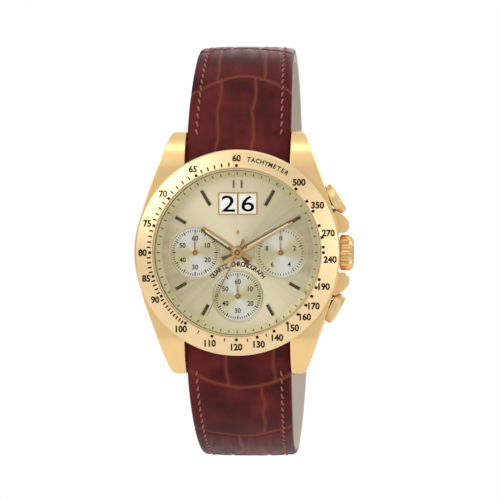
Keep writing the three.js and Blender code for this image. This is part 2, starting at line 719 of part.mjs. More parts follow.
const upperLine = new StrapLine(1, UPPER_START, [
  { radius: 42, length: 20 },
  { radius: 24.5, length: 45 },
  { radius: 80, length: 60 },
]);
const lowerLine = new StrapLine(-1, LOWER_START, [
  { radius: 39.2, length: 50 },
  { radius: 50, length: 60 },
]);

const smooth = (value, low, high) => THREE.MathUtils.smoothstep(value, low, high);

function strapWidth(distance) {
  return STRAP_W_LUG + (STRAP_W_END - STRAP_W_LUG) * smooth(distance, 0, 38);
}

function strapThickness(distance) {
  return PAD_T - 0.3 * (1 - smooth(distance, 0, 5)) - (PAD_T - END_T) * smooth(distance, 14, 46);
}

// A flat block of unit size, bent along the line: stations are distances from the spring bar, and
// width and thickness are functions of the distance.
function bentStrap(line, stations, widthAt, thicknessAt) {
  const across = 4;
  const geometry = new THREE.BoxGeometry(1, 1, 1, across, stations.length - 1, 1);
  const position = geometry.attributes.position;
  for (let i = 0; i < position.count; i += 1) {
    const u = 2 * position.getX(i);
    const station = stations[Math.round((position.getY(i) + 0.5) * (stations.length - 1))];
    const top = position.getZ(i) > 0;
    const { point, out } = line.at(station);
    const crown = top ? 1 - 0.22 * Math.abs(u) ** 3 : 1 - 0.05 * u * u;
    const lift = (top ? 0.5 : -0.5) * thicknessAt(station) * crown;
    const placed = point.clone().addScaledVector(out, lift);
    position.setXYZ(i, (line.side * u * widthAt(station)) / 2, placed.y, placed.z);
  }
  return solid(geometry);
}

// Round end about the spring bar: stations crowd together so that the thickness closes in a half circle.
function barrelStations(radius, steps) {
  return Array.from({ length: steps }, (_, i) => -radius * Math.cos((i * Math.PI) / 2 / steps) * 0.995);
}

function evenStations(from, to, count) {
  return Array.from({ length: count + 1 }, (_, i) => from + ((to - from) * i) / count);
}

function roundEnd(distance, radius) {
  return 2 * Math.sqrt(Math.max(radius * radius - distance * distance, 0));
}

function barTunnel(line, distance, radius, length) {
  const tunnel = new THREE.CylinderGeometry(radius, radius, length, SMALL).rotateZ(Math.PI / 2);
  return solid(tunnel.applyMatrix4(line.matrixAt(distance)));
}

function strapUpper() {
  const end = barrelStations(BUCKLE_BARREL_R, 4).map((distance) => UPPER_LENGTH - distance).reverse();
  const stations = [...barrelStations(BARREL_R, 5), ...evenStations(0, UPPER_LENGTH, 20), ...end];
  const thickness = (distance) => {
    if (distance < 0) return roundEnd(distance, BARREL_R);
    if (distance > UPPER_LENGTH) return roundEnd(distance - UPPER_LENGTH, BUCKLE_BARREL_R);
    const swell = (2 * BUCKLE_BARREL_R - END_T) * smooth(distance, UPPER_LENGTH - 5, UPPER_LENGTH);
    return strapThickness(distance) + swell;
  };
  const tongueSlot = new THREE.BoxGeometry(3, 6.5, 6).translate(0, 0.6, 0);
  return cut(bentStrap(upperLine, stations, strapWidth, thickness), [
    barTunnel(upperLine, 0, 0.85, 24),
    barTunnel(upperLine, UPPER_LENGTH, 0.65, 24),
    solid(tongueSlot.applyMatrix4(upperLine.matrixAt(UPPER_LENGTH))),
  ]);
}

function strapLower() {
  const tip = [0.3, 0.6, 0.82, 0.95, 1].map((part) => LOWER_LENGTH - 9 + 9 * part);
  const stations = [...barrelStations(BARREL_R, 5), ...evenStations(0, LOWER_LENGTH - 9, 22), ...tip];
  const width = (distance) => {
    const part = Math.max(0, (distance - (LOWER_LENGTH - 9)) / 9);
    return strapWidth(distance) * Math.sqrt(Math.max(1 - part ** 2.2, 0.012));
  };
  const thickness = (distance) => (distance < 0 ? roundEnd(distance, BARREL_R) : strapThickness(distance));
  const holes = [];
  for (let i = 0; i < HOLE_COUNT; i += 1) {
    const hole = new THREE.CylinderGeometry(0.95, 0.95, 6, 8).rotateX(Math.PI / 2);
    holes.push(solid(hole.applyMatrix4(lowerLine.matrixAt(FIRST_HOLE + i * HOLE_PITCH))));
  }
  const strap = bentStrap(lowerLine, stations, width, thickness);
  return cut(strap, [barTunnel(lowerLine, 0, 0.85, 24), ...holes]);
}

function springBar(end) {
  const profile = [[0, -11.2], [0.4, -11.2], [0.4, -9.9], [0.75, -9.9], [0.75, 9.9], [0.4, 9.9], [0.4, 11.2],
    [0, 11.2]];
  const bar = turnedGeometry(profile, 12).rotateY(Math.PI / 2);
  return solid(bar.translate(0, end * SPRING_BAR_Y, SPRING_BAR_Z));
}

// ---------------------------------------------------------------- keepers and buckle

const KEEPER_LENGTH = 5;
const KEEPER_WALL = 0.8;
const KEEPER_ROOM = 2.7;
const FIXED_KEEPER_AT = 74.6;
const FREE_KEEPER_AT = 67.2;
const BUCKLE_ARM_X = 9.35;
const BUCKLE_ARM_W = 1.6;
const BUCKLE_REACH = 12.5;
const BUCKLE_T = 1.7;
const BUCKLE_PIN_R = 0.55;
const TONGUE_HALF = 0.85;

function keeper(distance, clearance) {
  const halfWidth = STRAP_W_END / 2 + clearance;
  const low = -END_T / 2 - clearance;
  const high = END_T / 2 + KEEPER_ROOM;
  const wall = KEEPER_WALL;
  const loop = roundedRectangle(halfWidth + wall, low - wall, high + wall, 1.1);
  loop.holes.push(roundedRectangle(halfWidth, low, high, 0.4));
  const half = KEEPER_LENGTH / 2;
  const geometry = extrudedGeometry(loop, -half, half, 3).rotateX(Math.PI / 2).scale(1, -1, 1);
  return solid(geometry.applyMatrix4(upperLine.matrixAt(distance)));
}

function buckleFrame() {
  const outer = BUCKLE_ARM_X + BUCKLE_ARM_W;
  const shape = new THREE.Shape();
  shape.moveTo(BUCKLE_ARM_X, -1.1);
  shape.lineTo(outer - 0.3, -1.1);
  shape.lineTo(outer, 0);
  shape.lineTo(outer, BUCKLE_REACH - 3);
  shape.quadraticCurveTo(outer, BUCKLE_REACH - 0.3, outer - 2.6, BUCKLE_REACH - 0.2);
  shape.quadraticCurveTo(0, BUCKLE_REACH + 0.4, -outer + 2.6, BUCKLE_REACH - 0.2);
  shape.quadraticCurveTo(-outer, BUCKLE_REACH - 0.3, -outer, BUCKLE_REACH - 3);
  shape.lineTo(-outer, 0);
  shape.lineTo(-outer + 0.3, -1.1);
  shape.lineTo(-BUCKLE_ARM_X, -1.1);
  shape.lineTo(-BUCKLE_ARM_X, BUCKLE_REACH - 3.2);
  shape.quadraticCurveTo(-BUCKLE_ARM_X, BUCKLE_REACH - 2, -BUCKLE_ARM_X + 1.4, BUCKLE_REACH - 2);
  shape.lineTo(BUCKLE_ARM_X - 1.4, BUCKLE_REACH - 2);
  shape.quadraticCurveTo(BUCKLE_ARM_X, BUCKLE_REACH - 2, BUCKLE_ARM_X, BUCKLE_REACH - 3.2);
  const frame = extrudedGeometry(shape, -BUCKLE_T / 2, BUCKLE_T / 2, 5);
  const pinHole = new THREE.CylinderGeometry(BUCKLE_PIN_R + FIT, BUCKLE_PIN_R + FIT, 30, 12);
  pinHole.rotateZ(Math.PI / 2);
  const place = upperLine.matrixAt(UPPER_LENGTH);
  return solid(frame.applyMatrix4(place)).subtract(solid(pinHole.applyMatrix4(place)));
}

function bucklePin() {
  const pin = new THREE.CylinderGeometry(BUCKLE_PIN_R, BUCKLE_PIN_R, 2 * (BUCKLE_ARM_X + 1.3), 12);
  return solid(pin.rotateZ(Math.PI / 2).applyMatrix4(upperLine.matrixAt(UPPER_LENGTH)));
}

// Side view of the tongue: an eye about the pin, rising to lie on the far bar of the frame.
function buckleTongue() {
  const shape = new THREE.Shape();
  shape.moveTo(0, -1.15);
  shape.absarc(0, 0, 1.15, -Math.PI / 2, -1.5 * Math.PI, true);
  shape.lineTo(2, 1.5);
  shape.lineTo(BUCKLE_REACH - 0.4, 1.65);
  shape.lineTo(BUCKLE_REACH, 1.3);
  shape.lineTo(BUCKLE_REACH - 0.3, 0.95);
  shape.lineTo(2.6, 0.6);
  shape.lineTo(1, -0.7);
  const blade = extrudedGeometry(shape, -TONGUE_HALF, TONGUE_HALF, 8);
  blade.rotateY(Math.PI / 2).rotateX(Math.PI / 2);
  const place = upperLine.matrixAt(UPPER_LENGTH);
  const eye = new THREE.CylinderGeometry(BUCKLE_PIN_R + 0.08, BUCKLE_PIN_R + 0.08, 6, 12);
  eye.rotateZ(Math.PI / 2);
  return solid(blade.applyMatrix4(place)).subtract(solid(eye.applyMatrix4(place)));
}

piece('spring_bar_upper', springBar(1), 'steel');
piece('spring_bar_lower', springBar(-1), 'steel');
piece('strap_upper', strapUpper(), 'leather');
piece('strap_lower', strapLower(), 'leather');
piece('fixed_keeper', keeper(FIXED_KEEPER_AT, 0.2), 'leather');
piece('free_keeper', keeper(FREE_KEEPER_AT, 0.35), 'leather');
piece('buckle_frame', buckleFrame(), 'gold');
piece('buckle_pin', bucklePin(), 'steel');
piece('buckle_tongue', buckleTongue(), 'gold');

// ---------------------------------------------------------------- the watch, upright

watch.rotation.x = Math.PI / 2;

const wristwatch = new THREE.Group();
wristwatch.add(watch);

export default wristwatch;
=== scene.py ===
"""Looks of the chronograph wristwatch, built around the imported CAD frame.

Shapes are drawn in millimetres in the watch's own axes: x to 3 o'clock, y to 12 o'clock, z out of the
dial, with z = 0 on the case back. settle() turns a finished shape into the row frame, in metres.
"""

import math
from collections.abc import Callable
from contextlib import contextmanager
from dataclasses import dataclass

import bpy
import bmesh
import numpy as np
from mathutils import Matrix, Vector


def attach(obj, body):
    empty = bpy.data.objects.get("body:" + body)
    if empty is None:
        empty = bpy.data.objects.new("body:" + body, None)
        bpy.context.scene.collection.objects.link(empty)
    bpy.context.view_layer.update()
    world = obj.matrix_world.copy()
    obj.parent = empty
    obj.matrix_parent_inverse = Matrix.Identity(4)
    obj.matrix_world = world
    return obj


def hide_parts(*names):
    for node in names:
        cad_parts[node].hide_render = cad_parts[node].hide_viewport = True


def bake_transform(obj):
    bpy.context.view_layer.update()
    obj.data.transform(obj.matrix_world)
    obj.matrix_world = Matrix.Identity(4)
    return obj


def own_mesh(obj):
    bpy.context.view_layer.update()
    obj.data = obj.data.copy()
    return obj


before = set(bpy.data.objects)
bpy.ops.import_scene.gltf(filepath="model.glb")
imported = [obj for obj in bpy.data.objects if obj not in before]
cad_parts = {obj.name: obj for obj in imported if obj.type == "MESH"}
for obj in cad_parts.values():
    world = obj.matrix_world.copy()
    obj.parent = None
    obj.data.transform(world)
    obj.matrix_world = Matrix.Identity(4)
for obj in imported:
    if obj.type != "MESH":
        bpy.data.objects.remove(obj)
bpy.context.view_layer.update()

MM = 0.001
WATCH_TO_ROW = Matrix(((MM, 0, 0, 0), (0, 0, -MM, 0), (0, MM, 0, 0), (0, 0, 0, 1)))
# Stands a shape drawn flat on its side: its x and y become y and z.
UPRIGHT = Matrix(((0, 0, 1, 0), (1, 0, 0, 0), (0, 1, 0, 0), (0, 0, 0, 1)))
# How many sides a turned shape has, by its size.
FINE = 192
MEDIUM = 96
SMALL = 48

# ---------------- driving dimensions
# They are the CAD's own, apart from slightly wider date windows and roomier pusher pockets.

# Case
LUG_GAP = 20
LUG_TIP_Y = 23.05
LUG_OUTER_X = 12.6
LUG_FOOT_Z = 0.3
SPRING_BAR_Y = 20.8
SPRING_BAR_Z = 3.2
CASE_TOP_Z = 8.2
CASE_BOTTOM_Z = 1.3
CASE_BORE_R = 15.6
CASE_END_R = 18.4
CASE_HALF_WIDTH = 19.3
BACK_SCREW_R = 16.95
# Dial and date
DIAL_R = 15.4
DIAL_TOP_Z = 6.6
COUNTER_FLOOR_Z = 6.5
COUNTER_R = 5.05
COUNTERS = {"left": (-8.15, 0.0), "right": (8.15, 0.0), "lower": (0.0, -8.25)}
INDEX_FOOT_Z = 6.62
DATE_Y = 9.3
DATE_WINDOW_W = 3.3
DATE_WINDOW_H = 3.8
DATE_BAR_W = 0.4
DATE_DIGIT_SIZE = 3.1
TENS_PLACE = (-4.2, 9.3)
UNITS_PLACE = (4.0, 6.9)
# Crown and pushers
STEM_Z = 3.9
CROWN_R = 3.4
CROWN_INNER_X = 19.25
CROWN_OUTER_X = 21.9
PUSHER_Z = 4.3
PUSHER_ANGLES = {"upper": 29, "lower": -30}
POCKET_R = 3.2
POCKET_FLOOR = 19.0
TUBE_HOLE_R = 1.3
STEM_HOLE_R = 1.0
SPRING_FOOT = 19.21
SPRING_HEAD = 20.76
SPRING_R = 1.08
SPRING_WIRE_R = 0.09
SPRING_TURNS = 3
# Hands, in degrees clockwise from 12 o'clock
HOUR_ANGLE = 304
MINUTE_ANGLE = 60.4
CHRONO_ANGLE = 205.7


# ---------------- building meshes

def mesh_object(name, vertices, faces):
    mesh = bpy.data.meshes.new(name)
    mesh.from_pydata([tuple(float(c) for c in v) for v in vertices], [], faces)
    mesh.update()
    obj = bpy.data.objects.new(name, mesh)
    bpy.context.scene.collection.objects.link(obj)
    return obj


@contextmanager
def editing(obj):
    """A bmesh of the shape's mesh, written back at the end."""
    work = bmesh.new()
    work.from_mesh(obj.data)
    yield work
    work.to_mesh(obj.data)
    work.free()


def face_outwards(obj):
    with editing(obj) as work:
        bmesh.ops.recalc_face_normals(work, faces=work.faces)
    return obj


def apply_modifiers(obj):
    bpy.context.view_layer.update()
    graph = bpy.context.evaluated_depsgraph_get()
    mesh = bpy.data.meshes.new_from_object(obj.evaluated_get(graph))
    obj.modifiers.clear()
    obj.data = mesh
    return obj


def weld(obj, distance):
    """Joins corners closer than distance, so that a bevel has no tiny edges to trip over."""
    with editing(obj) as work:
        bmesh.ops.remove_doubles(work, verts=work.verts, dist=distance)
    return obj


def mark_edges(obj, angle, spare):
    """Gives bevel weight to the edges sharper than angle, apart from those whose middle spare() picks."""
    with editing(obj) as work:
        weight = work.edges.layers.float.new("bevel_weight_edge")
        for edge in work.edges:
            middle = (edge.verts[0].co + edge.verts[1].co) / 2
            sharp = edge.calc_face_angle(0) > math.radians(angle)
            edge[weight] = 1.0 if sharp and not spare(middle) else 0.0


def bevelled(obj, width, segments=2, angle=32, clamp=True, spare=None):
    bevel = obj.modifiers.new("bevel", "BEVEL")
    bevel.width = width
    bevel.segments = segments
    bevel.limit_method = "ANGLE"
    bevel.angle_limit = math.radians(angle)
    if spare:
        mark_edges(obj, angle, spare)
        bevel.limit_method = "WEIGHT"
    bevel.use_clamp_overlap = clamp
    return apply_modifiers(obj)


def combined(obj, others, operation="DIFFERENCE"):
    for other in others:
        step = obj.modifiers.new("combine", "BOOLEAN")
        step.operation = operation
        step.object = other
        step.solver = "EXACT"
    apply_modifiers(obj)
    for other in others:
        bpy.data.objects.remove(other)
    return obj


def rounded(points, radius, closed=True):
    """The same outline with each corner eased by a short curve."""
    corners = [Vector(p) for p in points]
    result = []
    for i, corner in enumerate(corners):
        if not closed and i in (0, len(corners) - 1):
            result.append(tuple(corner))
            continue
        sides = [corners[i - 1] - corner, corners[(i + 1) % len(corners)] - corner]
        start, end = [corner + s.normalized() * min(radius, 0.45 * s.length) for s in sides]
        for t in (0, 0.25, 0.5, 0.75, 1):
            point = start * (1 - t) ** 2 + corner * 2 * t * (1 - t) + end * t * t
            result.append(tuple(point))
    return result


def lathe(name, profile, ease=0.0, segments=FINE, radius_at=None):
    """Turns a profile of (radius, height) about z: a solid if it starts on the axis, or else a ring.

    ease rounds the profile's corners. radius_at may change a radius with the angle."""
    is_ring = profile[0][0] > 0
    if ease:
        profile = rounded(profile, ease, is_ring)
    vertices, rings, faces = [], [], []
    angles = [2 * math.pi * i / segments for i in range(segments)]
    for radius, height in profile:
        first = len(vertices)
        if radius < 1e-9:
            vertices.append((0, 0, height))
            rings.append([first] * segments)
            continue
        for a in angles:
            r = radius_at(radius, a) if radius_at else radius
            vertices.append((r * math.cos(a), r * math.sin(a), height))
        rings.append(list(range(first, first + segments)))
    pairs = list(zip(rings, rings[1:]))
    if is_ring:
        pairs.append((rings[-1], rings[0]))
    for low, high in pairs:
        for i in range(segments):
            j = (i + 1) % segments
            face = list(dict.fromkeys((low[i], low[j], high[j], high[i])))
            if len(face) > 2:
                faces.append(face)
    return mesh_object(name, vertices, faces)


def ring(name, inner, outer, low, high, ease=0.05, segments=FINE):
    profile = [(inner, low), (outer, low), (outer, high), (inner, high)]
    return lathe(name, profile, ease, segments)


def skin(rings, closed=False):
    """Corners and faces over rings of points, which are capped, or joined end to start if closed."""
    n = len(rings[0])
    vertices = [tuple(point) for points in rings for point in points]
    last = len(vertices) - n
    faces = [] if closed else [list(range(n - 1, -1, -1)), list(range(last, last + n))]
    for r in range(len(rings) if closed else len(rings) - 1):
        a, b = r * n, (r + 1) % len(rings) * n
        faces += [[a + i, a + (i + 1) % n, b + (i + 1) % n, b + i] for i in range(n)]
    return vertices, faces


def skinned(name, rings, closed=False):
    return face_outwards(mesh_object(name, *skin(rings, closed)))


def prism(name, outline, low, high):
    return skinned(name, [[(x, y, z) for x, y in outline] for z in (low, high)])


def block(name, xs, ys, zs):
    outline = [(xs[0], ys[0]), (xs[1], ys[0]), (xs[1], ys[1]), (xs[0], ys[1])]
    return prism(name, outline, *zs)


def disc(name, radius, low, high, centre=(0, 0), segments=MEDIUM):
    obj = lathe(name, [(0, low), (radius, low), (radius, high), (0, high)], segments=segments)
    return moved(obj, shift_to(centre))


def moved(obj, matrix):
    obj.data.transform(matrix)
    return obj


def shift_to(centre):
    return Matrix.Translation((*centre, 0))


def pointing_out(degrees, height):
    """Takes a shape drawn along z and points it out of the case, at an angle from 3 o'clock."""
    turn = Matrix.Rotation(math.radians(degrees), 4, "Z") @ Matrix.Rotation(math.pi / 2, 4, "Y")
    return Matrix.Translation((0, 0, height)) @ turn


def clockwise(degrees):
    return Matrix.Rotation(-math.radians(degrees), 4, "Z")


def at_clock(degrees, radius):
    a = math.radians(degrees)
    return (radius * math.sin(a), radius * math.cos(a))


def arc(start, control, end, steps):
    """Points of a quadratic curve, without its start."""
    points = []
    for i in range(1, steps + 1):
        t = i / steps
        parts = list(zip(((1 - t) ** 2, 2 * t * (1 - t), t * t), (start, control, end)))
        points.append(tuple(sum(weight * point[k] for weight, point in parts) for k in (0, 1)))
    return points


def mirrored(points):
    """A half outline from the bottom to the top, joined with its mirror image in x."""
    return points + [(-x, y) for x, y in reversed(points)]


def finished(obj, materials, angle=30):
    """Smooths a shape, moves it to the row frame and gives it its materials."""
    obj.data.shade_smooth()
    obj.data.set_sharp_from_angle(angle=math.radians(angle))
    obj.data.transform(WATCH_TO_ROW)
    for material in materials if isinstance(materials, (list, tuple)) else [materials]:
        obj.data.materials.append(material)
    return obj


def settle(obj, body, materials, replaces=(), angle=30):
    """Finishes a shape and says which body it rides on and which CAD nodes it stands for."""
    finished(obj, materials, angle)
    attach(obj, body)
    if replaces:
        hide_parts(*replaces)
    return obj


# ---------------- materials

class Nodes:
    """Adds nodes to a tree."""

    def __init__(self, tree):
        self.tree = tree

    def feed(self, node, inputs):
        """Sets a node's inputs, or links them where the value is another node's output."""
        for socket, value in inputs.items():
            if isinstance(value, bpy.types.NodeSocket):
                self.tree.links.new(value, node.inputs[socket])
            else:
                node.inputs[socket].default_value = value

    def node(self, kind, inputs=(), **settings):
        made = self.tree.nodes.new("ShaderNode" + kind)
        for name, value in settings.items():
            setattr(made, name, value)
        self.feed(made, dict(inputs))
        return made

    def remap(self, source, low, high, source_low=0.3, source_high=0.7):
        inputs = {"Value": source, "From Min": source_low, "From Max": source_high}
        inputs |= {"To Min": low, "To Max": high}
        return self.node("MapRange", inputs).outputs["Result"]


class Finish(Nodes):
    """A Principled material whose colour, roughness and bump come from nodes."""

    def __init__(self, name, metallic=0.0, roughness=0.5, specular=0.5):
        self.material = bpy.data.materials.new(name)
        self.material.use_nodes = True
        super().__init__(self.material.node_tree)
        self.shader = self.tree.nodes["Principled BSDF"]
        self.shade({"Metallic": metallic, "Roughness": roughness, "Specular IOR Level": specular})
        self.normal = None

    def shade(self, inputs):
        self.feed(self.shader, inputs)

    def coordinates(self, stretch=(1, 1, 1), centre=(0, 0, 0)):
        """Object coordinates in millimetres, from a centre, scaled along the row axes."""
        inputs = {
            "Scale": [s / MM for s in stretch],
            "Location": [-c * s / MM for c, s in zip(centre, stretch)],
            "Vector": self.node("TexCoord").outputs["Object"],
        }
        return self.node("Mapping", inputs).outputs["Vector"]

    def noise(self, scale, stretch=(1, 1, 1), detail=2.0):
        inputs = {"Scale": scale, "Detail": detail, "Vector": self.coordinates(stretch)}
        return self.node("TexNoise", inputs).outputs["Fac"]

    def line_noise(self, source, scale):
        """Noise along one number."""
        inputs = {"Scale": scale, "Detail": 3, "W": source}
        return self.node("TexNoise", inputs, noise_dimensions="1D").outputs["Fac"]

    def cells(self, scale):
        """Distance to the nearest edge of a pattern of irregular cells."""
        inputs = {"Scale": scale, "Vector": self.coordinates()}
        return self.node("TexVoronoi", inputs, feature="DISTANCE_TO_EDGE").outputs["Distance"]

    def mix(self, factor, first, second):
        first, second = [(*c, 1) if isinstance(c, tuple) else c for c in (first, second)]
        return self.node("Mix", {0: factor, 6: first, 7: second}, data_type="RGBA").outputs[2]

    def mottle(self, pattern, colour, contrast):
        """The colour, darker and lighter by contrast as the pattern goes."""
        return self.mix(pattern, lit(colour, 1 - contrast), lit(colour, 1 + contrast))

    def colour(self, source):
        self.shade({"Base Color": source})

    def rough(self, source):
        self.shade({"Roughness": source})

    def bump(self, source, distance, strength=1.0):
        """distance is the height of the pattern, in millimetres."""
        inputs = {"Strength": strength, "Distance": distance * MM, "Height": source}
        if self.normal is not None:
            inputs["Normal"] = self.normal
        self.normal = self.node("Bump", inputs).outputs["Normal"]
        self.shade({"Normal": self.normal})

    def polar(self, centre):
        """Clock angle and distance about a centre (x, y) on the dial, in radians and millimetres."""
        place = self.coordinates(centre=(centre[0] * MM, 0, centre[1] * MM))
        split = self.node("SeparateXYZ", {0: place}).outputs
        angle = self.node("Math", {0: split["X"], 1: split["Z"]}, operation="ARCTAN2")
        flat = self.node("CombineXYZ", {0: split["X"], 1: split["Z"]})
        distance = self.node("VectorMath", {0: flat.outputs[0]}, operation="LENGTH")
        return angle.outputs[0], distance.outputs["Value"]


def lit(colour, factor):
    return tuple(min(1.0, c * factor) for c in colour)


def satin_gold(name, colour, roughness, stretch=(1, 1, 1)):
    """Gold with a fine brushed or sandblasted grain."""
    finish = Finish(name, metallic=1.0)
    grain = finish.noise(6, stretch, detail=3)
    finish.colour(finish.mottle(finish.noise(0.25), colour, 0.05))
    finish.rough(finish.remap(grain, roughness - 0.05, roughness + 0.06))
    finish.bump(grain, 0.004, 0.35)
    return finish.material


def polished_metal(name, colour, roughness):
    finish = Finish(name, metallic=1.0)
    finish.colour(finish.mottle(finish.noise(0.8), colour, 0.06))
    finish.rough(finish.remap(finish.noise(4), roughness - 0.03, roughness + 0.05))
    return finish.material


def plain_paint(name, colour, roughness, contrast=0.06, grain=8.0, height=0.004, specular=0.5, painted_glow=0.0):
    finish = Finish(name, roughness=roughness, specular=specular)
    # Emission makes the surface give off light of its own, as painted light.
    finish.shade({"Emission Color": (1, 1, 1, 1), "Emission Strength": painted_glow})
    speckle = finish.noise(grain)
    finish.colour(finish.mottle(speckle, colour, contrast))
    finish.rough(finish.remap(speckle, roughness - 0.06, roughness + 0.06))
    finish.bump(speckle, height)
    return finish.material


def sunray(name, colour, centre, anisotropy, along_radius, metallic=0.85, painted_highlight=None, bright_at=0):
    """Dial metal whose fine lines run along the radius, or in circles. Along the radius, broad rays are
    painted lighter as painted highlight streaks. Where a highlight colour is given, two opposite sectors
    are painted brighter with it as a painted highlight, one of them at the clock angle bright_at."""
    finish = Finish(name, metallic=metallic)
    angle, distance = finish.polar(centre)
    lines = finish.line_noise(angle, 90) if along_radius else finish.line_noise(distance, 9)
    body = finish.mottle(lines, colour, 0.06)
    if along_radius:
        # Painted highlight streaks: broad rays lightened towards the highlight colour.
        highlight_rays = finish.remap(finish.line_noise(angle, 8), 0, 0.38)
        body = finish.mix(highlight_rays, body, painted_highlight or lit(colour, 1.2))
    if painted_highlight:
        # Painted highlight: two opposite sectors brighter, standing in for the light a sunray dial
        # reflects.
        inputs = {0: angle, 1: 2, 2: math.radians(-2 * bright_at)}
        turned = finish.node("Math", inputs, operation="MULTIPLY_ADD")
        wave = finish.node("Math", {0: turned.outputs[0]}, operation="COSINE").outputs[0]
        body = finish.mix(finish.remap(wave, 0, 1, -0.8, 0.9), body, painted_highlight)
    finish.colour(body)
    finish.rough(finish.remap(lines, 0.3, 0.4))
    tangent = finish.node("Tangent", direction_type="RADIAL", axis="Y").outputs["Tangent"]
    turn = 0.25 if along_radius else 0.0
    finish.shade({"Anisotropic": anisotropy, "Anisotropic Rotation": turn, "Tangent": tangent})
    return finish.material


def leather():
    """Polished, crocodile-embossed leather: worn red in the creases, beige lining below."""
    finish = Finish("leather", roughness=0.45, specular=0.09)
    crease = finish.node("Attribute", attribute_name="crease").outputs["Fac"]
    lining = finish.node("Attribute", attribute_name="lining").outputs["Fac"]
    cloud = finish.noise(0.16, detail=4)
    streak = finish.noise(1.1, (1, 0.12, 0.12), detail=5)
    body = finish.mix(finish.remap(cloud, 0, 1, 0.35, 0.65), LEATHER_DARK, LEATHER_RED)
    body = finish.mix(finish.remap(streak, 0, 0.55, 0.45, 0.75), body, LEATHER_STREAK)
    body = finish.mix(crease, body, LEATHER_CREASE)
    pore = finish.noise(5, detail=3)
    hide = finish.mix(pore, lit(LINING, 0.9), lit(LINING, 1.06))
    finish.colour(finish.mix(lining, body, hide))
    roughness = {0: lining, 2: finish.remap(streak, 0.36, 0.5), 3: LINING_ROUGHNESS}
    finish.rough(finish.node("Mix", roughness, data_type="FLOAT").outputs[0])
    finish.bump(finish.cells(2.2), 0.03, 0.25)
    finish.bump(streak, 0.05, 0.5)
    finish.bump(pore, 0.01, 0.4)
    return finish.material


def glass():
    finish = Finish("sapphire", roughness=0.02)
    fresnel = finish.node("Fresnel", {"IOR": 1.6}).outputs[0]
    finish.shade({"Alpha": finish.remap(fresnel, 0.015, 0.45, 0.05, 1.0)})
    finish.colour(finish.mix(finish.noise(0.5), (0.02, 0.025, 0.025), (0.04, 0.045, 0.045)))
    return finish.material


BEZEL_GOLD = (0.89, 0.66, 0.38)
CASE_GOLD = (0.92, 0.64, 0.30)
CROWN_GOLD = (0.80, 0.52, 0.22)
PUSHER_GOLD = (0.80, 0.58, 0.30)
HAND_GOLD = (0.66, 0.43, 0.19)
# Painted shade for one facet of the hour and minute hands and for the small hands' hub grooves.
HAND_PAINTED_SHADE = (0.16, 0.11, 0.045)
# Lit and shaded copies of the bars' metal: a painted highlight facet and a painted shade facet.
INDEX_PAINTED_HIGHLIGHT = (0.90, 0.83, 0.64)
INDEX_PAINTED_SHADE = (0.09, 0.075, 0.045)
FLANGE_GOLD = (1.0, 0.90, 0.56)
DIAL_GOLD = (0.66, 0.56, 0.355)
# Painted highlight colour for the dial's bright sectors and rays.
DIAL_PAINTED_HIGHLIGHT = (1.0, 0.885, 0.62)
COUNTER_GOLD = (0.71, 0.63, 0.37)
# Painted highlight colour for the counters' bright sectors.
COUNTER_PAINTED_HIGHLIGHT = (1.0, 0.98, 0.89)
COUNTER_RIM = (0.80, 0.74, 0.50)
LEATHER_DARK = (0.048, 0.0045, 0.0045)
LEATHER_RED = (0.115, 0.012, 0.011)
LEATHER_STREAK = (0.066, 0.007, 0.007)
LEATHER_CREASE = (0.21, 0.046, 0.027)
LINING = (0.47, 0.40, 0.33)
LINING_ROUGHNESS = 0.75
STITCH_RED = (0.29, 0.09, 0.065)
PRINT_BROWN = (0.03, 0.012, 0.004)
PRINT_GREY = (0.012, 0.010, 0.008)
ENAMEL = (0.93, 0.95, 0.93)
LUME = (0.95, 0.90, 0.78)
STEEL = (0.62, 0.62, 0.61)
BRASS = (0.72, 0.50, 0.20)

bezel_gold = satin_gold("bezel_gold", BEZEL_GOLD, 0.36)
case_gold = satin_gold("case_gold", CASE_GOLD, 0.34, (3, 0.3, 0.3))
crown_gold = satin_gold("crown_gold", CROWN_GOLD, 0.24, (0.4, 2, 2))
pusher_gold = satin_gold("pusher_gold", PUSHER_GOLD, 0.42)
hand_gold = polished_metal("hand_gold", HAND_GOLD, 0.22)
hand_painted_shade = polished_metal("hand_painted_shade", HAND_PAINTED_SHADE, 0.3)
index_painted_highlight = polished_metal("index_painted_highlight", INDEX_PAINTED_HIGHLIGHT, 0.15)
index_painted_shade = polished_metal("index_painted_shade", INDEX_PAINTED_SHADE, 0.3)
# The flange's lighter rays are painted highlight streaks.
flange_gold = sunray("flange_gold", FLANGE_GOLD, (0, 0), 0.3, True, 0.35)
# The dial's bright sectors and rays are painted highlight.
dial_gold = sunray("dial_champagne", DIAL_GOLD, (0, 0), 0.75, True, painted_highlight=DIAL_PAINTED_HIGHLIGHT, bright_at=172)
rim_gold = polished_metal("counter_rim_gold", COUNTER_RIM, 0.3)
print_brown = plain_paint("print_brown", PRINT_BROWN, 0.8, specular=0.1)
print_grey = plain_paint("print_grey", PRINT_GREY, 0.8, specular=0.08)
# The date discs glow faintly: painted light that makes up for the shade under the dial.
enamel = plain_paint("date_enamel", ENAMEL, 0.35, 0.015, painted_glow=0.3)
digit_black = plain_paint("date_digit_black", (0.004, 0.004, 0.005), 0.8, specular=0.05)
lume = plain_paint("hand_lume", LUME, 0.6, 0.03)
steel = polished_metal("brushed_steel", STEEL, 0.3)
back_steel = sunray("back_steel", STEEL, (0, 0), 0.6, False)
brass = polished_metal("movement_brass", BRASS, 0.32)
nickel = polished_metal("battery_nickel", (0.68, 0.67, 0.63), 0.25)
copper = polished_metal("coil_copper", (0.75, 0.30, 0.13), 0.3)
nylon = plain_paint("white_nylon", (0.72, 0.70, 0.63), 0.55)
gasket_gold = plain_paint("crystal_seal", (0.55, 0.43, 0.22), 0.45)
rubber = plain_paint("black_rubber", (0.018, 0.018, 0.02), 0.75)
board = plain_paint("green_board", (0.03, 0.14, 0.055), 0.4, 0.3, 1.5)
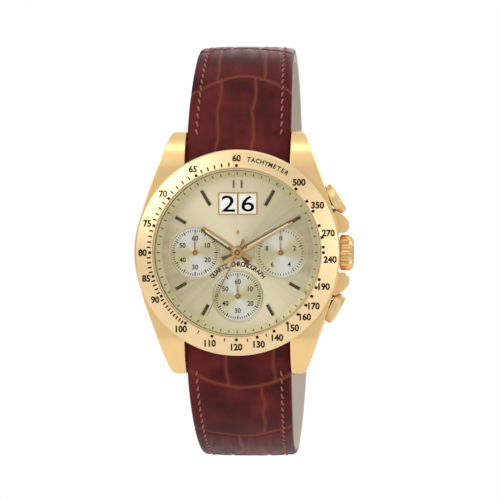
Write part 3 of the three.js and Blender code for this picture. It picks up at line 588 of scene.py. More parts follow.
glass_clear = glass()
strap_leather = leather()
thread = plain_paint("waxed_thread", STITCH_RED, 0.6, 0.25, 3.0, 0.05)


# ---------------- case

def lug_gap(end):
    """Half the gap between two lugs, from the middle of its round floor out to the tip."""
    limit = math.asin(LUG_GAP / 2 / CASE_END_R)
    angles = [limit * i / 24 for i in range(1, 25)]
    points = [(CASE_END_R * math.sin(a), end * CASE_END_R * math.cos(a)) for a in angles]
    return points + [(LUG_GAP / 2, end * LUG_TIP_Y)]


def case_plan():
    corner = 0.9
    edge = (LUG_OUTER_X + 0.4, LUG_TIP_Y - corner)
    right = [(LUG_OUTER_X - corner, -LUG_TIP_Y)]
    right += arc(right[-1], (LUG_OUTER_X, -LUG_TIP_Y), (edge[0], -edge[1]), 8)
    right.append((16.2, -13.4))
    right += arc((16.2, -13.4), (CASE_HALF_WIDTH, -5.5), (CASE_HALF_WIDTH, 0), 24)
    right += arc((CASE_HALF_WIDTH, 0), (CASE_HALF_WIDTH, 5.5), (16.2, 13.4), 24)
    right.append(edge)
    right += arc(edge, (LUG_OUTER_X, LUG_TIP_Y), (LUG_OUTER_X - corner, LUG_TIP_Y), 8)
    return mirrored(lug_gap(-1) + right + lug_gap(1)[::-1])


def case_side():
    """Side view, with y along the case and the height across."""
    tip = LUG_TIP_Y + 0.1
    half = [(15, CASE_BOTTOM_Z)]
    half += arc(half[-1], (19, LUG_FOOT_Z + 0.1), (21.6, LUG_FOOT_Z), 12)
    half += arc(half[-1], (tip, LUG_FOOT_Z), (tip, 3.3), 12)
    half += arc(half[-1], (20.6, 7.95), (16, CASE_TOP_Z), 24)
    return mirrored(half)


def crown_guard(side):
    corners = [(17, 3.7), (20.4, 3.8), (21, 4.5), (20.9, 6.3), (19.9, 7.3), (17, 9.2)]
    outline = rounded([(x, side * y) for x, y in corners], 0.5)
    return prism("guard", outline, 1.5, 6.7)


def back_screw_places():
    angles = [math.radians(a) for a in (45, 135, 225, 315)]
    return [(BACK_SCREW_R * math.cos(a), BACK_SCREW_R * math.sin(a)) for a in angles]


def build_case():
    body = prism("case_body", case_plan(), -1, 9)
    side = prism("side", case_side(), -22, 22)
    moved(side, UPRIGHT)
    combined(body, [side], "INTERSECT")
    combined(body, [crown_guard(1), crown_guard(-1)], "UNION")
    cutters = [
        disc("foot", 18, -2, CASE_BOTTOM_Z, segments=FINE),
        disc("bore", CASE_BORE_R, 0, 9, segments=FINE),
        block("flat", (18.9, 22), (-3.6, 3.6), (-1, 7.6)),
    ]
    drills = [(STEM_HOLE_R, 14, 20, 0, STEM_Z)]
    for angle in PUSHER_ANGLES.values():
        drills.append((POCKET_R, POCKET_FLOOR, 24, angle, PUSHER_Z))
        drills.append((TUBE_HOLE_R, 14, 20, angle, PUSHER_Z))
    for radius, inner, outer, angle, height in drills:
        drill = disc("drill", radius, inner, outer, segments=SMALL)
        cutters.append(moved(drill, pointing_out(angle, height)))
    combined(body, cutters)
    weld(body, 0.02)
    in_bore = lambda point: math.hypot(point.x, point.y) < CASE_BORE_R + 0.1
    bevelled(body, 0.16, 2, 38, clamp=False, spare=in_bore)
    settle(body, "case", case_gold, ["case_middle"], angle=28)
    even = body.modifiers.new("even_shading", "WEIGHTED_NORMAL")
    even.keep_sharp = True
    even.weight = 100


def cone_height(radius):
    """Height of the bezel's face, which slopes beyond a narrow rounded step."""
    if radius < 16.4:
        return min(10.15, 10.05 + 0.5 * (16.4 - radius))
    return 10.05 - (radius - 16.4) * 0.95 / 2.8


def build_bezel():
    profile = [
        (15.6, 8.25), (19.3, 8.25), (19.5, 8.45), (19.5, 8.8), (19.2, 9.1), (16.4, 10.05),
        (16.2, 10.15), (15.95, 10.15), (15.9, 10.05), (15.9, 8.95), (15.6, 8.95),
    ]
    bezel = lathe("bezel_ring", profile, 0.09)
    settle(bezel, "case", bezel_gold, ["bezel"])


def build_crystal():
    profile = [(0, 9.0), (15.55, 9.0), (15.55, 10.2), (15.35, 10.4), (0, 10.4)]
    crystal = lathe("crystal_glass", profile, 0.06)
    settle(crystal, "case", glass_clear, ["crystal"])


FLANGE_FOOT = (14.4, 6.8)
FLANGE_HEAD = (15.4, 8.9)


def flange_height(radius):
    part = (radius - FLANGE_FOOT[0]) / (FLANGE_HEAD[0] - FLANGE_FOOT[0])
    return FLANGE_FOOT[1] + part * (FLANGE_HEAD[1] - FLANGE_FOOT[1])


def build_flange():
    profile = [(14.4, 6.63), (15.5, 6.63), (15.5, 8.9), FLANGE_HEAD, FLANGE_FOOT]
    flange = lathe("flange_slope", profile, 0.04)
    settle(flange, "case", flange_gold, ["flange_ring"])


def build_case_back():
    profile = [(0, 0), (7.9, 0), (8.0, 0.06), (8.5, 0.06), (8.6, 0), (15.2, 0), (15.3, 0.05)]
    profile += [(15.8, 0.05), (16.4, 0.08), (17.6, 0.55), (17.9, 0.9), (17.9, 1.25), (15, 1.25)]
    profile += [(15, 0.75), (0, 0.75)]
    back = lathe("case_back_plate", profile, 0.05)
    sinks = [disc("sink", 0.82, -1, 0.7, place, SMALL) for place in back_screw_places()]
    combined(back, sinks)
    settle(back, "case", back_steel, ["case_back"])
    for i, place in enumerate(back_screw_places()):
        name = f"case_back_screw_{i + 1}"
        profile = [(0, 0.28), (0.6, 0.28), (0.74, 0.4), (0.74, 0.69), (0, 0.69)]
        head = lathe(f"{name}_head", profile, 0.03, SMALL)
        head = combined(head, [block("slot", (-1, 1), (-0.11, 0.11), (0.1, 0.44))])
        moved(head, shift_to(place))
        settle(head, "case", steel, [name])


# ---------------- printed marks

MARK_ROOT = 0.04
PRINT_LIFT = 0.02
FINE_LIFT = 0.012


class Marks:
    """Many small raised marks gathered into one mesh; each reaches MARK_ROOT below its surface."""

    def __init__(self):
        self.vertices = []
        self.faces = []

    def add(self, vertices, faces):
        first = len(self.vertices)
        self.vertices += vertices
        self.faces += [[first + i for i in face] for face in faces]

    def tick(self, degrees, inner, outer, width, height_at, lift, centre=(0, 0)):
        """A radial bar at a clock angle; it follows the surface below it."""
        out = Vector(at_clock(degrees, 1))
        side = Vector((out.y, -out.x)) * width / 2
        rings = [[], []]
        for points, raise_by in zip(rings, (-MARK_ROOT, lift)):
            for radius, sign in ((inner, -1), (inner, 1), (outer, 1), (outer, -1)):
                spot = out * radius + side * sign + Vector(centre)
                points.append((*spot, height_at(radius) + raise_by))
        self.add(*skin(rings))

    def dot(self, degrees, radius, size, height_at, lift):
        """A small square with eased corners."""
        corners = rounded([(-size, -size), (size, -size), (size, size), (-size, size)], size * 0.6)
        shape = prism("dot", corners, -MARK_ROOT, lift)
        self.take(moved(shape, shift_to(at_clock(degrees, radius)) @ clockwise(degrees)), height_at)

    def take(self, obj, height_at):
        """Adds a flat shape, laid on a surface whose height depends on the distance from the axis."""
        spots = [v.co for v in obj.data.vertices]
        vertices = [(x, y, z + height_at(math.hypot(x, y))) for x, y, z in spots]
        self.add(vertices, [list(face.vertices) for face in obj.data.polygons])
        bpy.data.objects.remove(obj)

    def text(self, words, size, centre, height_at, lift=PRINT_LIFT, turn=0.0, bold=0.0, stretch=1.0):
        self.take(lettering(words, size, centre, lift, turn, bold, stretch), height_at)

    def build(self, name):
        return face_outwards(mesh_object(name, self.vertices, self.faces))


GLYPH_CACHE = {}


def lettering(words, size, centre, lift, turn, bold, stretch):
    """Text as a thin solid, with digits of the given height, centred, turned clockwise by turn degrees."""
    key = (words, bold)
    if key not in GLYPH_CACHE:
        curve = bpy.data.curves.new("text", "FONT")
        curve.body = words
        curve.align_x = "CENTER"
        curve.resolution_u = 4
        curve.offset = bold
        curve.extrude = 0.5
        source = bpy.data.objects.new("text", curve)
        bpy.context.scene.collection.objects.link(source)
        bpy.context.view_layer.update()
        graph = bpy.context.evaluated_depsgraph_get()
        GLYPH_CACHE[key] = bpy.data.meshes.new_from_object(source.evaluated_get(graph))
        bpy.data.objects.remove(source)
    mesh = GLYPH_CACHE[key].copy()
    ys = [v.co.y for v in mesh.vertices]
    xs = [v.co.x for v in mesh.vertices]
    scale = size / (max(ys) - min(ys))
    middle = Vector(((max(xs) + min(xs)) / 2, (max(ys) + min(ys)) / 2, 0))
    shape = Matrix.Diagonal((scale * stretch, scale, lift + MARK_ROOT, 1)) @ Matrix.Translation(-middle)
    place = Matrix.Translation((*centre, (lift - MARK_ROOT) / 2)) @ clockwise(turn)
    mesh.transform(place @ shape)
    obj = bpy.data.objects.new("text", mesh)
    bpy.context.scene.collection.objects.link(obj)
    return obj


TACHYMETER = [60, 65, 70, 75, 80, 85, 90, 100, 110, 120, 130, 140, 150, 160, 170, 190, 240, 270, 350, 500]
NUMERAL_SHIFT = {150: -1, 160: -2, 170: -2.5, 190: -2.5, 240: 4.2, 270: -2, 350: -2, 500: -1.5}
TACHYMETER_DOTS = [180, 200, 250, 300, 400]
TACHYMETER_BARS = [105, 115, 125, 135]
TICK_COUNTS = {60: 5, 65: 4, 70: 4, 75: 4, 80: 4, 85: 4, 90: 9}
NUMERAL_RADIUS = 17.85
NUMERAL_SIZE = 1.34
DOT_RADIUS = 16.45
DOT_SIZE = 0.27
DOT_LIFT = 0.06
TICK_SPAN = (16.3, 17.05)
BAR_SPAN = (16.3, 16.95)


def speed_angle(speed):
    return 360 * 60 / speed


def build_bezel_marks():
    marks = Marks()
    for speed in TACHYMETER:
        angle = speed_angle(speed)
        radius = NUMERAL_RADIUS - 0.12 * max(0, math.sin(math.radians(angle)))
        centre = at_clock(angle + NUMERAL_SHIFT.get(speed, 0), radius)
        marks.text(str(speed), NUMERAL_SIZE, centre, cone_height, bold=0.04, stretch=0.95)
    for speed in TACHYMETER + TACHYMETER_DOTS:
        marks.dot(speed_angle(speed), DOT_RADIUS, DOT_SIZE, cone_height, DOT_LIFT)
    for speed in TACHYMETER_BARS:
        marks.tick(speed_angle(speed), *BAR_SPAN, 0.2, cone_height, PRINT_LIFT)
    for speed, count in TICK_COUNTS.items():
        following = TACHYMETER[TACHYMETER.index(speed) + 1]
        for i in range(1, count + 1):
            value = speed + (following - speed) * i / (count + 1)
            marks.tick(speed_angle(value), *TICK_SPAN, 0.29, cone_height, PRINT_LIFT)
    for i, letter in enumerate("TACHYMETER"):
        angle = 7.5 + i * 2.75
        marks.text(letter, 0.9, at_clock(angle, 17.75), cone_height, turn=angle, bold=0.03, stretch=0.92)
    settle(marks.build("bezel_scale"), "case", print_brown)


def build_minute_track():
    marks = Marks()
    for minute in range(60):
        marks.tick(minute * 6, 14.75, 15.2, 0.16, flange_height, 0.04)
    settle(marks.build("minute_track"), "case", print_brown)


# ---------------- dial

def window_rows():
    return (DATE_Y - DATE_WINDOW_H / 2, DATE_Y + DATE_WINDOW_H / 2)


def window_block(side):
    near = DATE_BAR_W / 2
    span = (near, near + DATE_WINDOW_W) if side > 0 else (-near - DATE_WINDOW_W, -near)
    return block("window", span, window_rows(), (6, 7.5))


def build_dial():
    profile = [(0, 6.2), (DIAL_R, 6.2), (DIAL_R, DIAL_TOP_Z), (0, DIAL_TOP_Z)]
    dial = lathe("dial_plate", profile)
    cutters = [disc("hole", 1.15, 6, 7, segments=SMALL), window_block(1), window_block(-1)]
    for centre in COUNTERS.values():
        cutters.append(disc("well", COUNTER_R - 0.25, 6.48, 7, centre))
        cutters.append(disc("hole", 0.4, 6, 7, centre, SMALL))
    combined(dial, cutters)
    settle(dial, "case", dial_gold, ["dial"])


def counter_floor(name, centre):
    """Thin floor with fine turned grooves."""
    inner, outer, foot = 0.42, COUNTER_R - 0.28, 6.485
    profile = [(inner, foot), (outer, foot)]
    steps = 72
    for i in range(steps):
        radius = outer - (outer - inner) * i / steps
        profile.append((radius, COUNTER_FLOOR_Z + 0.006 * (i % 2)))
    floor = lathe(f"counter_floor_{name}", profile)
    moved(floor, shift_to(centre))
    # The counter floor's bright sectors are painted highlight.
    finish = sunray(f"counter_{name}", COUNTER_GOLD, centre, 0.7, False, painted_highlight=COUNTER_PAINTED_HIGHLIGHT, bright_at=162)
    settle(floor, "case", finish, angle=60)


def counter_rim(name, centre):
    inner = COUNTER_R - 0.42
    profile = [(inner, 6.5), (COUNTER_R, 6.59), (COUNTER_R, 6.63)]
    profile += [(COUNTER_R - 0.1, 6.69), (inner + 0.14, 6.66)]
    rim = lathe(f"counter_rim_{name}", profile, 0.04)
    moved(rim, shift_to(centre))
    settle(rim, "case", rim_gold)


def counter_print(name, centre, labels, ticks, major):
    level = lambda radius: COUNTER_FLOOR_Z + 0.008
    marks = Marks()
    for i in range(ticks):
        inner, width = (3.7, 0.2) if i % major == 0 else (3.95, 0.13)
        marks.tick(360 * i / ticks, inner, 4.38, width, level, FINE_LIFT, centre)
    for i, label in enumerate(labels):
        x, y = at_clock(360 * i / len(labels), 2.75)
        spot = (centre[0] + x, centre[1] + y)
        marks.text(label, 0.95, spot, level, FINE_LIFT, bold=0.02, stretch=0.95)
    settle(marks.build(f"counter_print_{name}"), "case", print_grey)


def build_counters():
    sixties = ["60", "10", "20", "30", "40", "50"]
    labels = {"left": sixties, "lower": sixties, "right": ["0", "2", "4", "6", "8"]}
    divisions = {"left": (60, 5), "lower": (60, 5), "right": (50, 10)}
    for name, centre in COUNTERS.items():
        counter_floor(name, centre)
        counter_rim(name, centre)
        counter_print(name, centre, labels[name], *divisions[name])


def build_dial_words():
    """Generic words where the real dial has its own, and a plain lozenge."""
    level = lambda radius: DIAL_TOP_Z
    marks = Marks()
    words = "QUARTZ CHRONOGRAPH"
    spread = 104  # degrees about the lower counter
    for i, letter in enumerate(words):
        if letter == " ":
            continue
        angle = -spread / 2 + spread * i / (len(words) - 1)
        x, y = at_clock(angle, 6.1)
        centre = (x, y + COUNTERS["lower"][1])
        marks.text(letter, 0.95, centre, level, turn=angle, bold=0.03, stretch=0.8)
    settle(marks.build("dial_words"), "case", print_grey)
    lozenge = prism("dial_lozenge", [(0, 3.2), (0.36, 3.85), (0, 4.5), (-0.36, 3.85)], 6.58, 6.68)
    bevelled(lozenge, 0.04)
    settle(lozenge, "case", hand_gold)


def date_frame():
    x, low, high = 3.75, DATE_Y - 2.15, DATE_Y + 2.15
    outline = rounded([(-x, low), (x, low), (x, high), (-x, high)], 0.15)
    plate = prism("date_frame", outline, INDEX_FOOT_Z, 6.85)
    combined(plate, [window_block(1), window_block(-1)])
    bevelled(plate, 0.06, 2, 40)
    settle(plate, "case", hand_gold, ["date_window_frame"])


def date_disc(name, radius, low, high, place, digits):
    """A printed disc. digits holds (digit, x, y, turn) in the dial's own axes."""
    plate = moved(ring(f"{name}_plate", 0.53, radius, low, high, 0.04), shift_to(place))
    settle(plate, name, enamel, [f"{name}_disc"])
    marks = Marks()
    for digit, x, y, turn in digits:
        marks.text(digit, DATE_DIGIT_SIZE, (x, y), lambda r: high, FINE_LIFT, turn, 0.008, 1.3)
    settle(marks.build(f"{name}_digits"), name, digit_black)


def around(place, centre, turn):
    """The point that centre moves to when it turns clockwise about place, by turn degrees."""
    offset = clockwise(turn) @ Vector((centre[0] - place[0], centre[1] - place[1], 0))
    return (place[0] + offset.x, place[1] + offset.y)


def build_date():
    date_frame()
    window = DATE_BAR_W / 2 + DATE_WINDOW_W / 2
    tens = []
    for digit in (1, 2, 3):
        turn = (2 - digit) * 120
        tens.append((str(digit), *around(TENS_PLACE, (-window, DATE_Y), turn), turn))
    date_disc("date_tens", 4.1, 5.88, 6.1, TENS_PLACE, tens)
    units = []
    for step, digit in enumerate("67890"):
        turn = -step * 72
        units.append((digit, *around(UNITS_PLACE, (window, DATE_Y), turn), turn))
    date_disc("date_units", 6.3, 5.58, 5.78, UNITS_PLACE, units)


def ridged_bar(name, stations, low, edge, top, shift=0.0, ridge=0.0):
    """A bar along +y with two facets: stations are (distance, half width). The right-hand facet has
    material 0 and the left-hand one material 1. ridge moves the crest across, in half widths."""
    rings = []
    for y, half in stations:
        section = ((-half, low), (half, low), (half, edge), (ridge * half, top), (-half, edge))
        rings.append([(x + shift, y, z) for x, z in section])
    obj = skinned(name, rings)
    for face in obj.data.polygons:
        face.material_index = 1 if face.normal.x < -1e-3 and abs(face.normal.y) < 0.9 else 0
    return obj


# Hours whose right-hand facet carries the painted highlight; the other facet carries painted shade.
BRIGHT_ON_RIGHT = (7, 8, 10, 11)


def build_indices():
    for hour in (1, 2, 4, 5, 7, 8, 10, 11):
        inner = 10.35 if hour in (1, 11) else 11.35
        bright_side = 1 if hour in BRIGHT_ON_RIGHT else -1
        stations = [(inner, 0.4), (13.65, 0.4)]
        ridge = 0.5 * bright_side
        bar = ridged_bar(f"hour_bar_{hour:02d}", stations, INDEX_FOOT_Z, 6.78, 6.95, ridge=ridge)
        moved(bevelled(bar, 0.03, 2, 15), clockwise(hour * 30))
        sides = [index_painted_highlight, index_painted_shade] if bright_side > 0 else [index_painted_shade, index_painted_highlight]
        settle(bar, "case", sides, [f"index_{hour:02d}"], angle=12)
    for side, shift in (("left", -0.76), ("right", 0.76)):
        stations = [(12.25, 0.2), (13.75, 0.2)]
        bar = ridged_bar(f"hour_bar_12_{side}", stations, INDEX_FOOT_Z, 6.8, 6.95, shift)
        bevelled(bar, 0.02, 2, 15)
        settle(bar, "case", [index_painted_highlight, index_painted_shade], [f"index_12_{side}"], angle=12)


# ---------------- hands

def baton_hand(name, body, nodes, angle, stations, stripe, low, hub_radius, hole):
    """Faceted baton with a luminous stripe and a round hub."""
    high = low + 0.2
    blade = ridged_bar(name, stations, low, low + 0.08, high)
    combined(blade, [disc("hole", hole, low - 1, high + 1, segments=SMALL)])
    bevelled(blade, 0.02, 1, 20)
    moved(blade, clockwise(angle))
    # One facet of the blade is gold, the other painted shade.
    settle(blade, body, [hand_gold, hand_painted_shade], nodes[:1], angle=12)
    strip = block(f"{name}_stripe", (-stripe[2], stripe[2]), stripe[:2], (high - 0.05, high + 0.015))
    moved(bevelled(strip, 0.02), clockwise(angle))
    settle(strip, body, lume)
    boss = ring(f"{name}_hub", hole, hub_radius, low - 0.02, high + 0.02, 0.05, MEDIUM)
    settle(boss, body, hand_gold)


def needle(name, body, node, centre, angle, stations, low, high, hub_radius, arbor, cap):
    """Slender hand on an arbor, with a ring about its hub."""
    place = shift_to(centre)
    blade = ridged_bar(name, stations, low, low + 0.05, high)
    moved(bevelled(blade, 0.015, 1, 20), place @ clockwise(angle))
    settle(blade, body, [hand_gold, hand_gold], [node], angle=12)
    groove = hub_radius * 0.58
    profile = [(0, low - 0.03), (hub_radius, low - 0.03), (hub_radius, high)]
    profile += [(hub_radius - 0.12, high + 0.03), (hub_radius * 0.62, high + 0.03), (groove, high - 0.02)]
    profile += [(cap, high - 0.02), (cap, high + 0.12), (0, high + 0.14)]
    boss = lathe(f"{name}_hub", profile, 0.03, MEDIUM)
    settle(moved(boss, place), body, hand_gold)
    # A dark ring in the hub's groove: a painted shadow.
    dark = ring(f"{name}_hub_shadow", cap, groove, high - 0.05, high + 0.01, 0.01, SMALL)
    settle(moved(dark, place), body, hand_painted_shade)
    shaft = disc(f"{name}_arbor", arbor, 3.9, low, centre, SMALL)
    settle(bevelled(shaft, 0.03), body, steel)


def build_hands():
    hour = [(-2.85, 0.88), (-1.3, 0.5), (1.2, 0.5), (1.9, 0.62), (7.9, 0.5), (8.2, 0.42)]
    baton_hand("hour_baton", "hour_hand_and_wheel", ["hour_hand"], HOUR_ANGLE, hour,
               (2.1, 7.4, 0.16), 7.06, 1.3, 1.02)
    minute = [(-3.1, 0.85), (-1.4, 0.45), (1.2, 0.45), (1.9, 0.58), (11.6, 0.4), (11.95, 0.33)]
    baton_hand("minute_baton", "minute_hand_and_pinion", ["minute_hand"], MINUTE_ANGLE, minute,
               (2.2, 11.0, 0.14), 7.46, 1.05, 0.64)
    chrono = [(-2.8, 0.28), (-1.2, 0.16), (3, 0.13), (13.3, 0.06)]
    needle("chrono_needle", "chrono_seconds", "chrono_seconds_hand", (0, 0), CHRONO_ANGLE, chrono,
           7.86, 8.04, 0.85, 0.27, 0.3)
    small = [(-0.3, 0.16), (1.0, 0.16), (4.05, 0.05)]
    bodies = {"left": "minute_counter", "right": "tenths_counter", "lower": "small_seconds"}
    for place, body in bodies.items():
        needle(f"{body}_needle", body, f"{body}_hand", COUNTERS[place], 0, small,
               6.86, 6.96, 0.62, 0.22, 0.22)


# ---------------- crown and pushers

CROWN_FLUTES = 15
FLUTE_DEPTH = 0.38


def crown_radius(radius, angle):
    """Scalloped rim, whose flutes fade out on the flat ends."""
    depth = FLUTE_DEPTH * min(1, max(0, radius - CROWN_R + 1.0) / 0.6)
    wave = 0.5 - 0.5 * math.cos(CROWN_FLUTES * angle)
    return radius - depth * (1 - wave ** 0.6)


def build_crown():
    profile = [(0, CROWN_INNER_X + 1.3), (1.15, CROWN_INNER_X + 1.3), (1.15, CROWN_INNER_X)]
    profile += [(CROWN_R - 0.35, CROWN_INNER_X), (CROWN_R, CROWN_INNER_X + 0.3)]
    profile += [(CROWN_R, CROWN_OUTER_X - 0.75), (CROWN_R - 0.45, CROWN_OUTER_X - 0.2)]
    profile += [(CROWN_R - 1.2, CROWN_OUTER_X - 0.03), (CROWN_R - 1.3, CROWN_OUTER_X - 0.12)]
    profile += [(CROWN_R - 1.45, CROWN_OUTER_X - 0.03), (0, CROWN_OUTER_X)]
    crown = lathe("crown_cap", profile, 0.12, 360, crown_radius)
    moved(crown, pointing_out(0, STEM_Z))
    settle(crown, "crown_and_stem", crown_gold, ["crown"])


def build_pusher_spring(place, angle):
    """A wire coil about the pusher's axis, between the case and the pusher cap, fixed to the case."""
    steps, sides = 36 * SPRING_TURNS, 8
    low, high = SPRING_FOOT + SPRING_WIRE_R, SPRING_HEAD - SPRING_WIRE_R
    section = [at_clock(360 * j / sides, SPRING_WIRE_R) for j in range(sides)]
    rings = []
    for i in range(steps + 1):
        turn = 2 * math.pi * SPRING_TURNS * i / steps
        climb = low + (high - low) * i / steps
        x, y = math.cos(turn), math.sin(turn)
        rings.append([((SPRING_R + out) * x, (SPRING_R + out) * y, climb + up) for up, out in section])
    placed = pointing_out(angle, PUSHER_Z)
    coil = moved(skinned(f"{place}_pusher_coil", rings), placed)
    settle(coil, "case", steel, [f"{place}_pusher_spring"])
    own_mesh(coil)


def build_pushers():
    for place, angle in PUSHER_ANGLES.items():
        profile = [(0, 15.9), (0.7, 15.9), (0.7, 20.8), (1.6, 20.8), (1.6, 20.05), (2.8, 20.05)]
        profile += [(2.95, 20.2), (2.95, 21.65), (2.65, 21.95), (1.85, 22.1), (0, 22.1)]
        cap = lathe(f"{place}_pusher_cap", profile, 0.12, MEDIUM)
        moved(cap, pointing_out(angle, PUSHER_Z))
        settle(cap, f"{place}_pusher", pusher_gold, [f"{place}_pusher"])
        build_pusher_spring(place, angle)


# ---------------- strap

# Lengths along the strap are measured from the spring bar.
STRAP_W_LUG = 19.7
STRAP_W_END = 18
PAD_T = 4.4
END_T = 2.4
END_WALL_R = 18.5
END_REACH = 6
FIRST_STATION = -4
BUCKLE_BARREL_R = 1.45
UPPER_LENGTH = 80
LOWER_LENGTH = 106
TIP_LENGTH = 9
FIRST_HOLE = 58
HOLE_PITCH = 6.5
HOLE_COUNT = 7
HOLE_R = 0.95
STATION = HOLE_PITCH / 20
COLUMNS = 61
HOLE_CELLS = 3
SIDE_STEPS = 5
STITCH_INSET = 1.75
STITCH_PITCH = 1.8


class StrapLine:
    """The strap's middle line in the plane of y and z, as arcs from the spring bar."""

    def __init__(self, side, start, arcs):
        self.side = side
        self.start = -math.radians(start)
        self.arcs = arcs

    def at(self, distance):
        """Point, direction and outward normal, each as (y, z) arrays."""
        left = np.array(distance, float)
        heading = np.full_like(left, self.start)
        y = np.full_like(left, SPRING_BAR_Y)
        z = np.full_like(left, SPRING_BAR_Z)
        for radius, length in self.arcs:
            turn = np.minimum(left, length) / radius
            y = y + radius * (np.sin(heading) - np.sin(heading - turn))
            z = z + radius * (np.cos(heading - turn) - np.cos(heading))
            heading = heading - turn
            left = left - turn * radius
        along = (self.side * np.cos(heading), np.sin(heading))
        out = (-self.side * np.sin(heading), np.cos(heading))
        return (self.side * y, z), along, out

    def place(self, distance, across, lift):
        """Points in the watch's axes from distance along, place across and lift above the line."""
        (y, z), _, out = self.at(distance)
        return np.stack([self.side * across, y + out[0] * lift, z + out[1] * lift], -1)

    def matrix(self, distance):
        """Places a shape drawn with y along the strap and z outwards."""
        (y, z), along, out = self.at(float(distance))
        rows = [[self.side, 0, 0, 0], [0, along[0], out[0], y], [0, along[1], out[1], z], [0, 0, 0, 1]]
        return Matrix([[float(v) for v in row] for row in rows])


upper_line = StrapLine(1, 29.5, [(42, 20), (24.5, 45), (80, 60)])
lower_line = StrapLine(-1, 32, [(39.2, 50), (50, 60)])


def smoothstep(value, low, high):
    t = np.clip((value - low) / (high - low), 0, 1)
    return t * t * (3 - 2 * t)


def lattice_noise(x, y, seed):
    """Smooth noise from 0 to 1 on a unit grid."""
    table = np.random.default_rng(seed).random((64, 64))
    xi, yi = np.floor(x).astype(int), np.floor(y).astype(int)
    fx, fy = smoothstep(x - xi, 0, 1), smoothstep(y - yi, 0, 1)
    corner = lambda i, j: table[(xi + i) % 64, (yi + j) % 64]
    low = corner(0, 0) * (1 - fx) + corner(1, 0) * fx
    high = corner(0, 1) * (1 - fx) + corner(1, 1) * fx
    return low * (1 - fy) + high * fy


@dataclass
class Scales:
    """Crocodile pattern: rows of scales parted by arched grooves, with a few upright grooves in a row.

    rows holds, for each row, where its near groove crosses the middle, how far that groove arches,
    how far it slants, and where across the half width the row's upright grooves lie."""

    rows: list
    seed: int

    def groove(self, row, s, u):
        start, arch, slant, _ = row
        wander = 0.5 * (lattice_noise(u * 3 + start, u * 0 + start, self.seed) - 0.5)
        return s - (start - arch * np.abs(u) ** 1.6 + slant * u + wander)

    def crease(self, s, u, half):
        """0 on the scales, 1 in the grooves."""
        total = np.zeros_like(s)
        wobble = 0.5 * (lattice_noise(s * 0.35, u * 0 + self.seed, self.seed + 1) - 0.5)
        for i, row in enumerate(self.rows):
            near = self.groove(row, s, u)
            total = np.maximum(total, np.exp(-(near / 0.3) ** 2))
            far = self.groove(self.rows[i + 1], s, u) if i + 1 < len(self.rows) else np.full_like(s, -99)
            inside = smoothstep(near, -0.2, 0.3) * smoothstep(-far, -0.2, 0.3)
            for column in row[3]:
                across = (u - column) * half + wobble
                total = np.maximum(total, 0.8 * np.exp(-(across / 0.24) ** 2) * inside)
        return total

    def wrinkle(self, s, u, half):
        """Fine creases that run along the strap, strongest beside the cross grooves."""
        fine = lattice_noise(u * half * 1.6, s * 0.22, self.seed + 2)
        close = np.zeros_like(s)
        for row in self.rows:
            close = np.maximum(close, np.exp(-((self.groove(row, s, u) - 1.2) / 1.3) ** 2))
        return (fine - 0.5) * (0.25 + close)


UPPER_ROWS = [
    (-4, 0, 0, (-0.42, 0.27)), (15.3, 4.4, 0.5, (-0.5, 0.45)), (27.5, 2.2, -0.4, (-0.3, 0.3)),
    (37.5, -1.2, 0.3, (-0.45, 0.1, 0.55)), (47, 1.5, -0.5, (-0.3, 0.35)), (57, -1.0, 0.4, (-0.5, 0.0, 0.5)),
    (68, 1.2, -0.3, (-0.35, 0.3)),
]
LOWER_ROWS = [
    (-5, 0, 0, (-0.7, 0.22)), (4.3, 2.0, -0.4, (-0.45,)), (18.9, 2.4, 0.2, (0.08,)),
    (31, -1.6, 0.5, (-0.4, 0.4)), (42, 1.4, -0.4, (-0.1, 0.5)), (53, -1.3, 0.4, (-0.5, 0.3)),
    (64, 1.2, -0.3, (-0.35, 0.35)), (74.5, -1.0, 0.3, (-0.45, 0.2)), (85, 1.0, -0.3, (-0.3, 0.4)),
    (95, 0.8, 0.2, (0.0,)),
]


def strap_width(s):
    return STRAP_W_LUG + (STRAP_W_END - STRAP_W_LUG) * smoothstep(s, 0, 38)


def strap_thickness(s):
    return PAD_T - 0.3 * (1 - smoothstep(s, 0, 5)) - (PAD_T - END_T) * smoothstep(s, 14, 46)


def round_end(distance, radius):
    return 2 * np.sqrt(np.maximum(radius * radius - distance * distance, 0.0))


def upper_thickness(s):
    swell = (2 * BUCKLE_BARREL_R - END_T) * smoothstep(s, UPPER_LENGTH - 5, UPPER_LENGTH)
    body = strap_thickness(s) + swell
    return np.where(s > UPPER_LENGTH, round_end(s - UPPER_LENGTH, BUCKLE_BARREL_R), body)


def lower_width(s):
    part = np.clip((s - (LOWER_LENGTH - TIP_LENGTH)) / TIP_LENGTH, 0, 1)
    return strap_width(s) * np.sqrt(np.maximum(1 - part ** 2.2, 0.012))


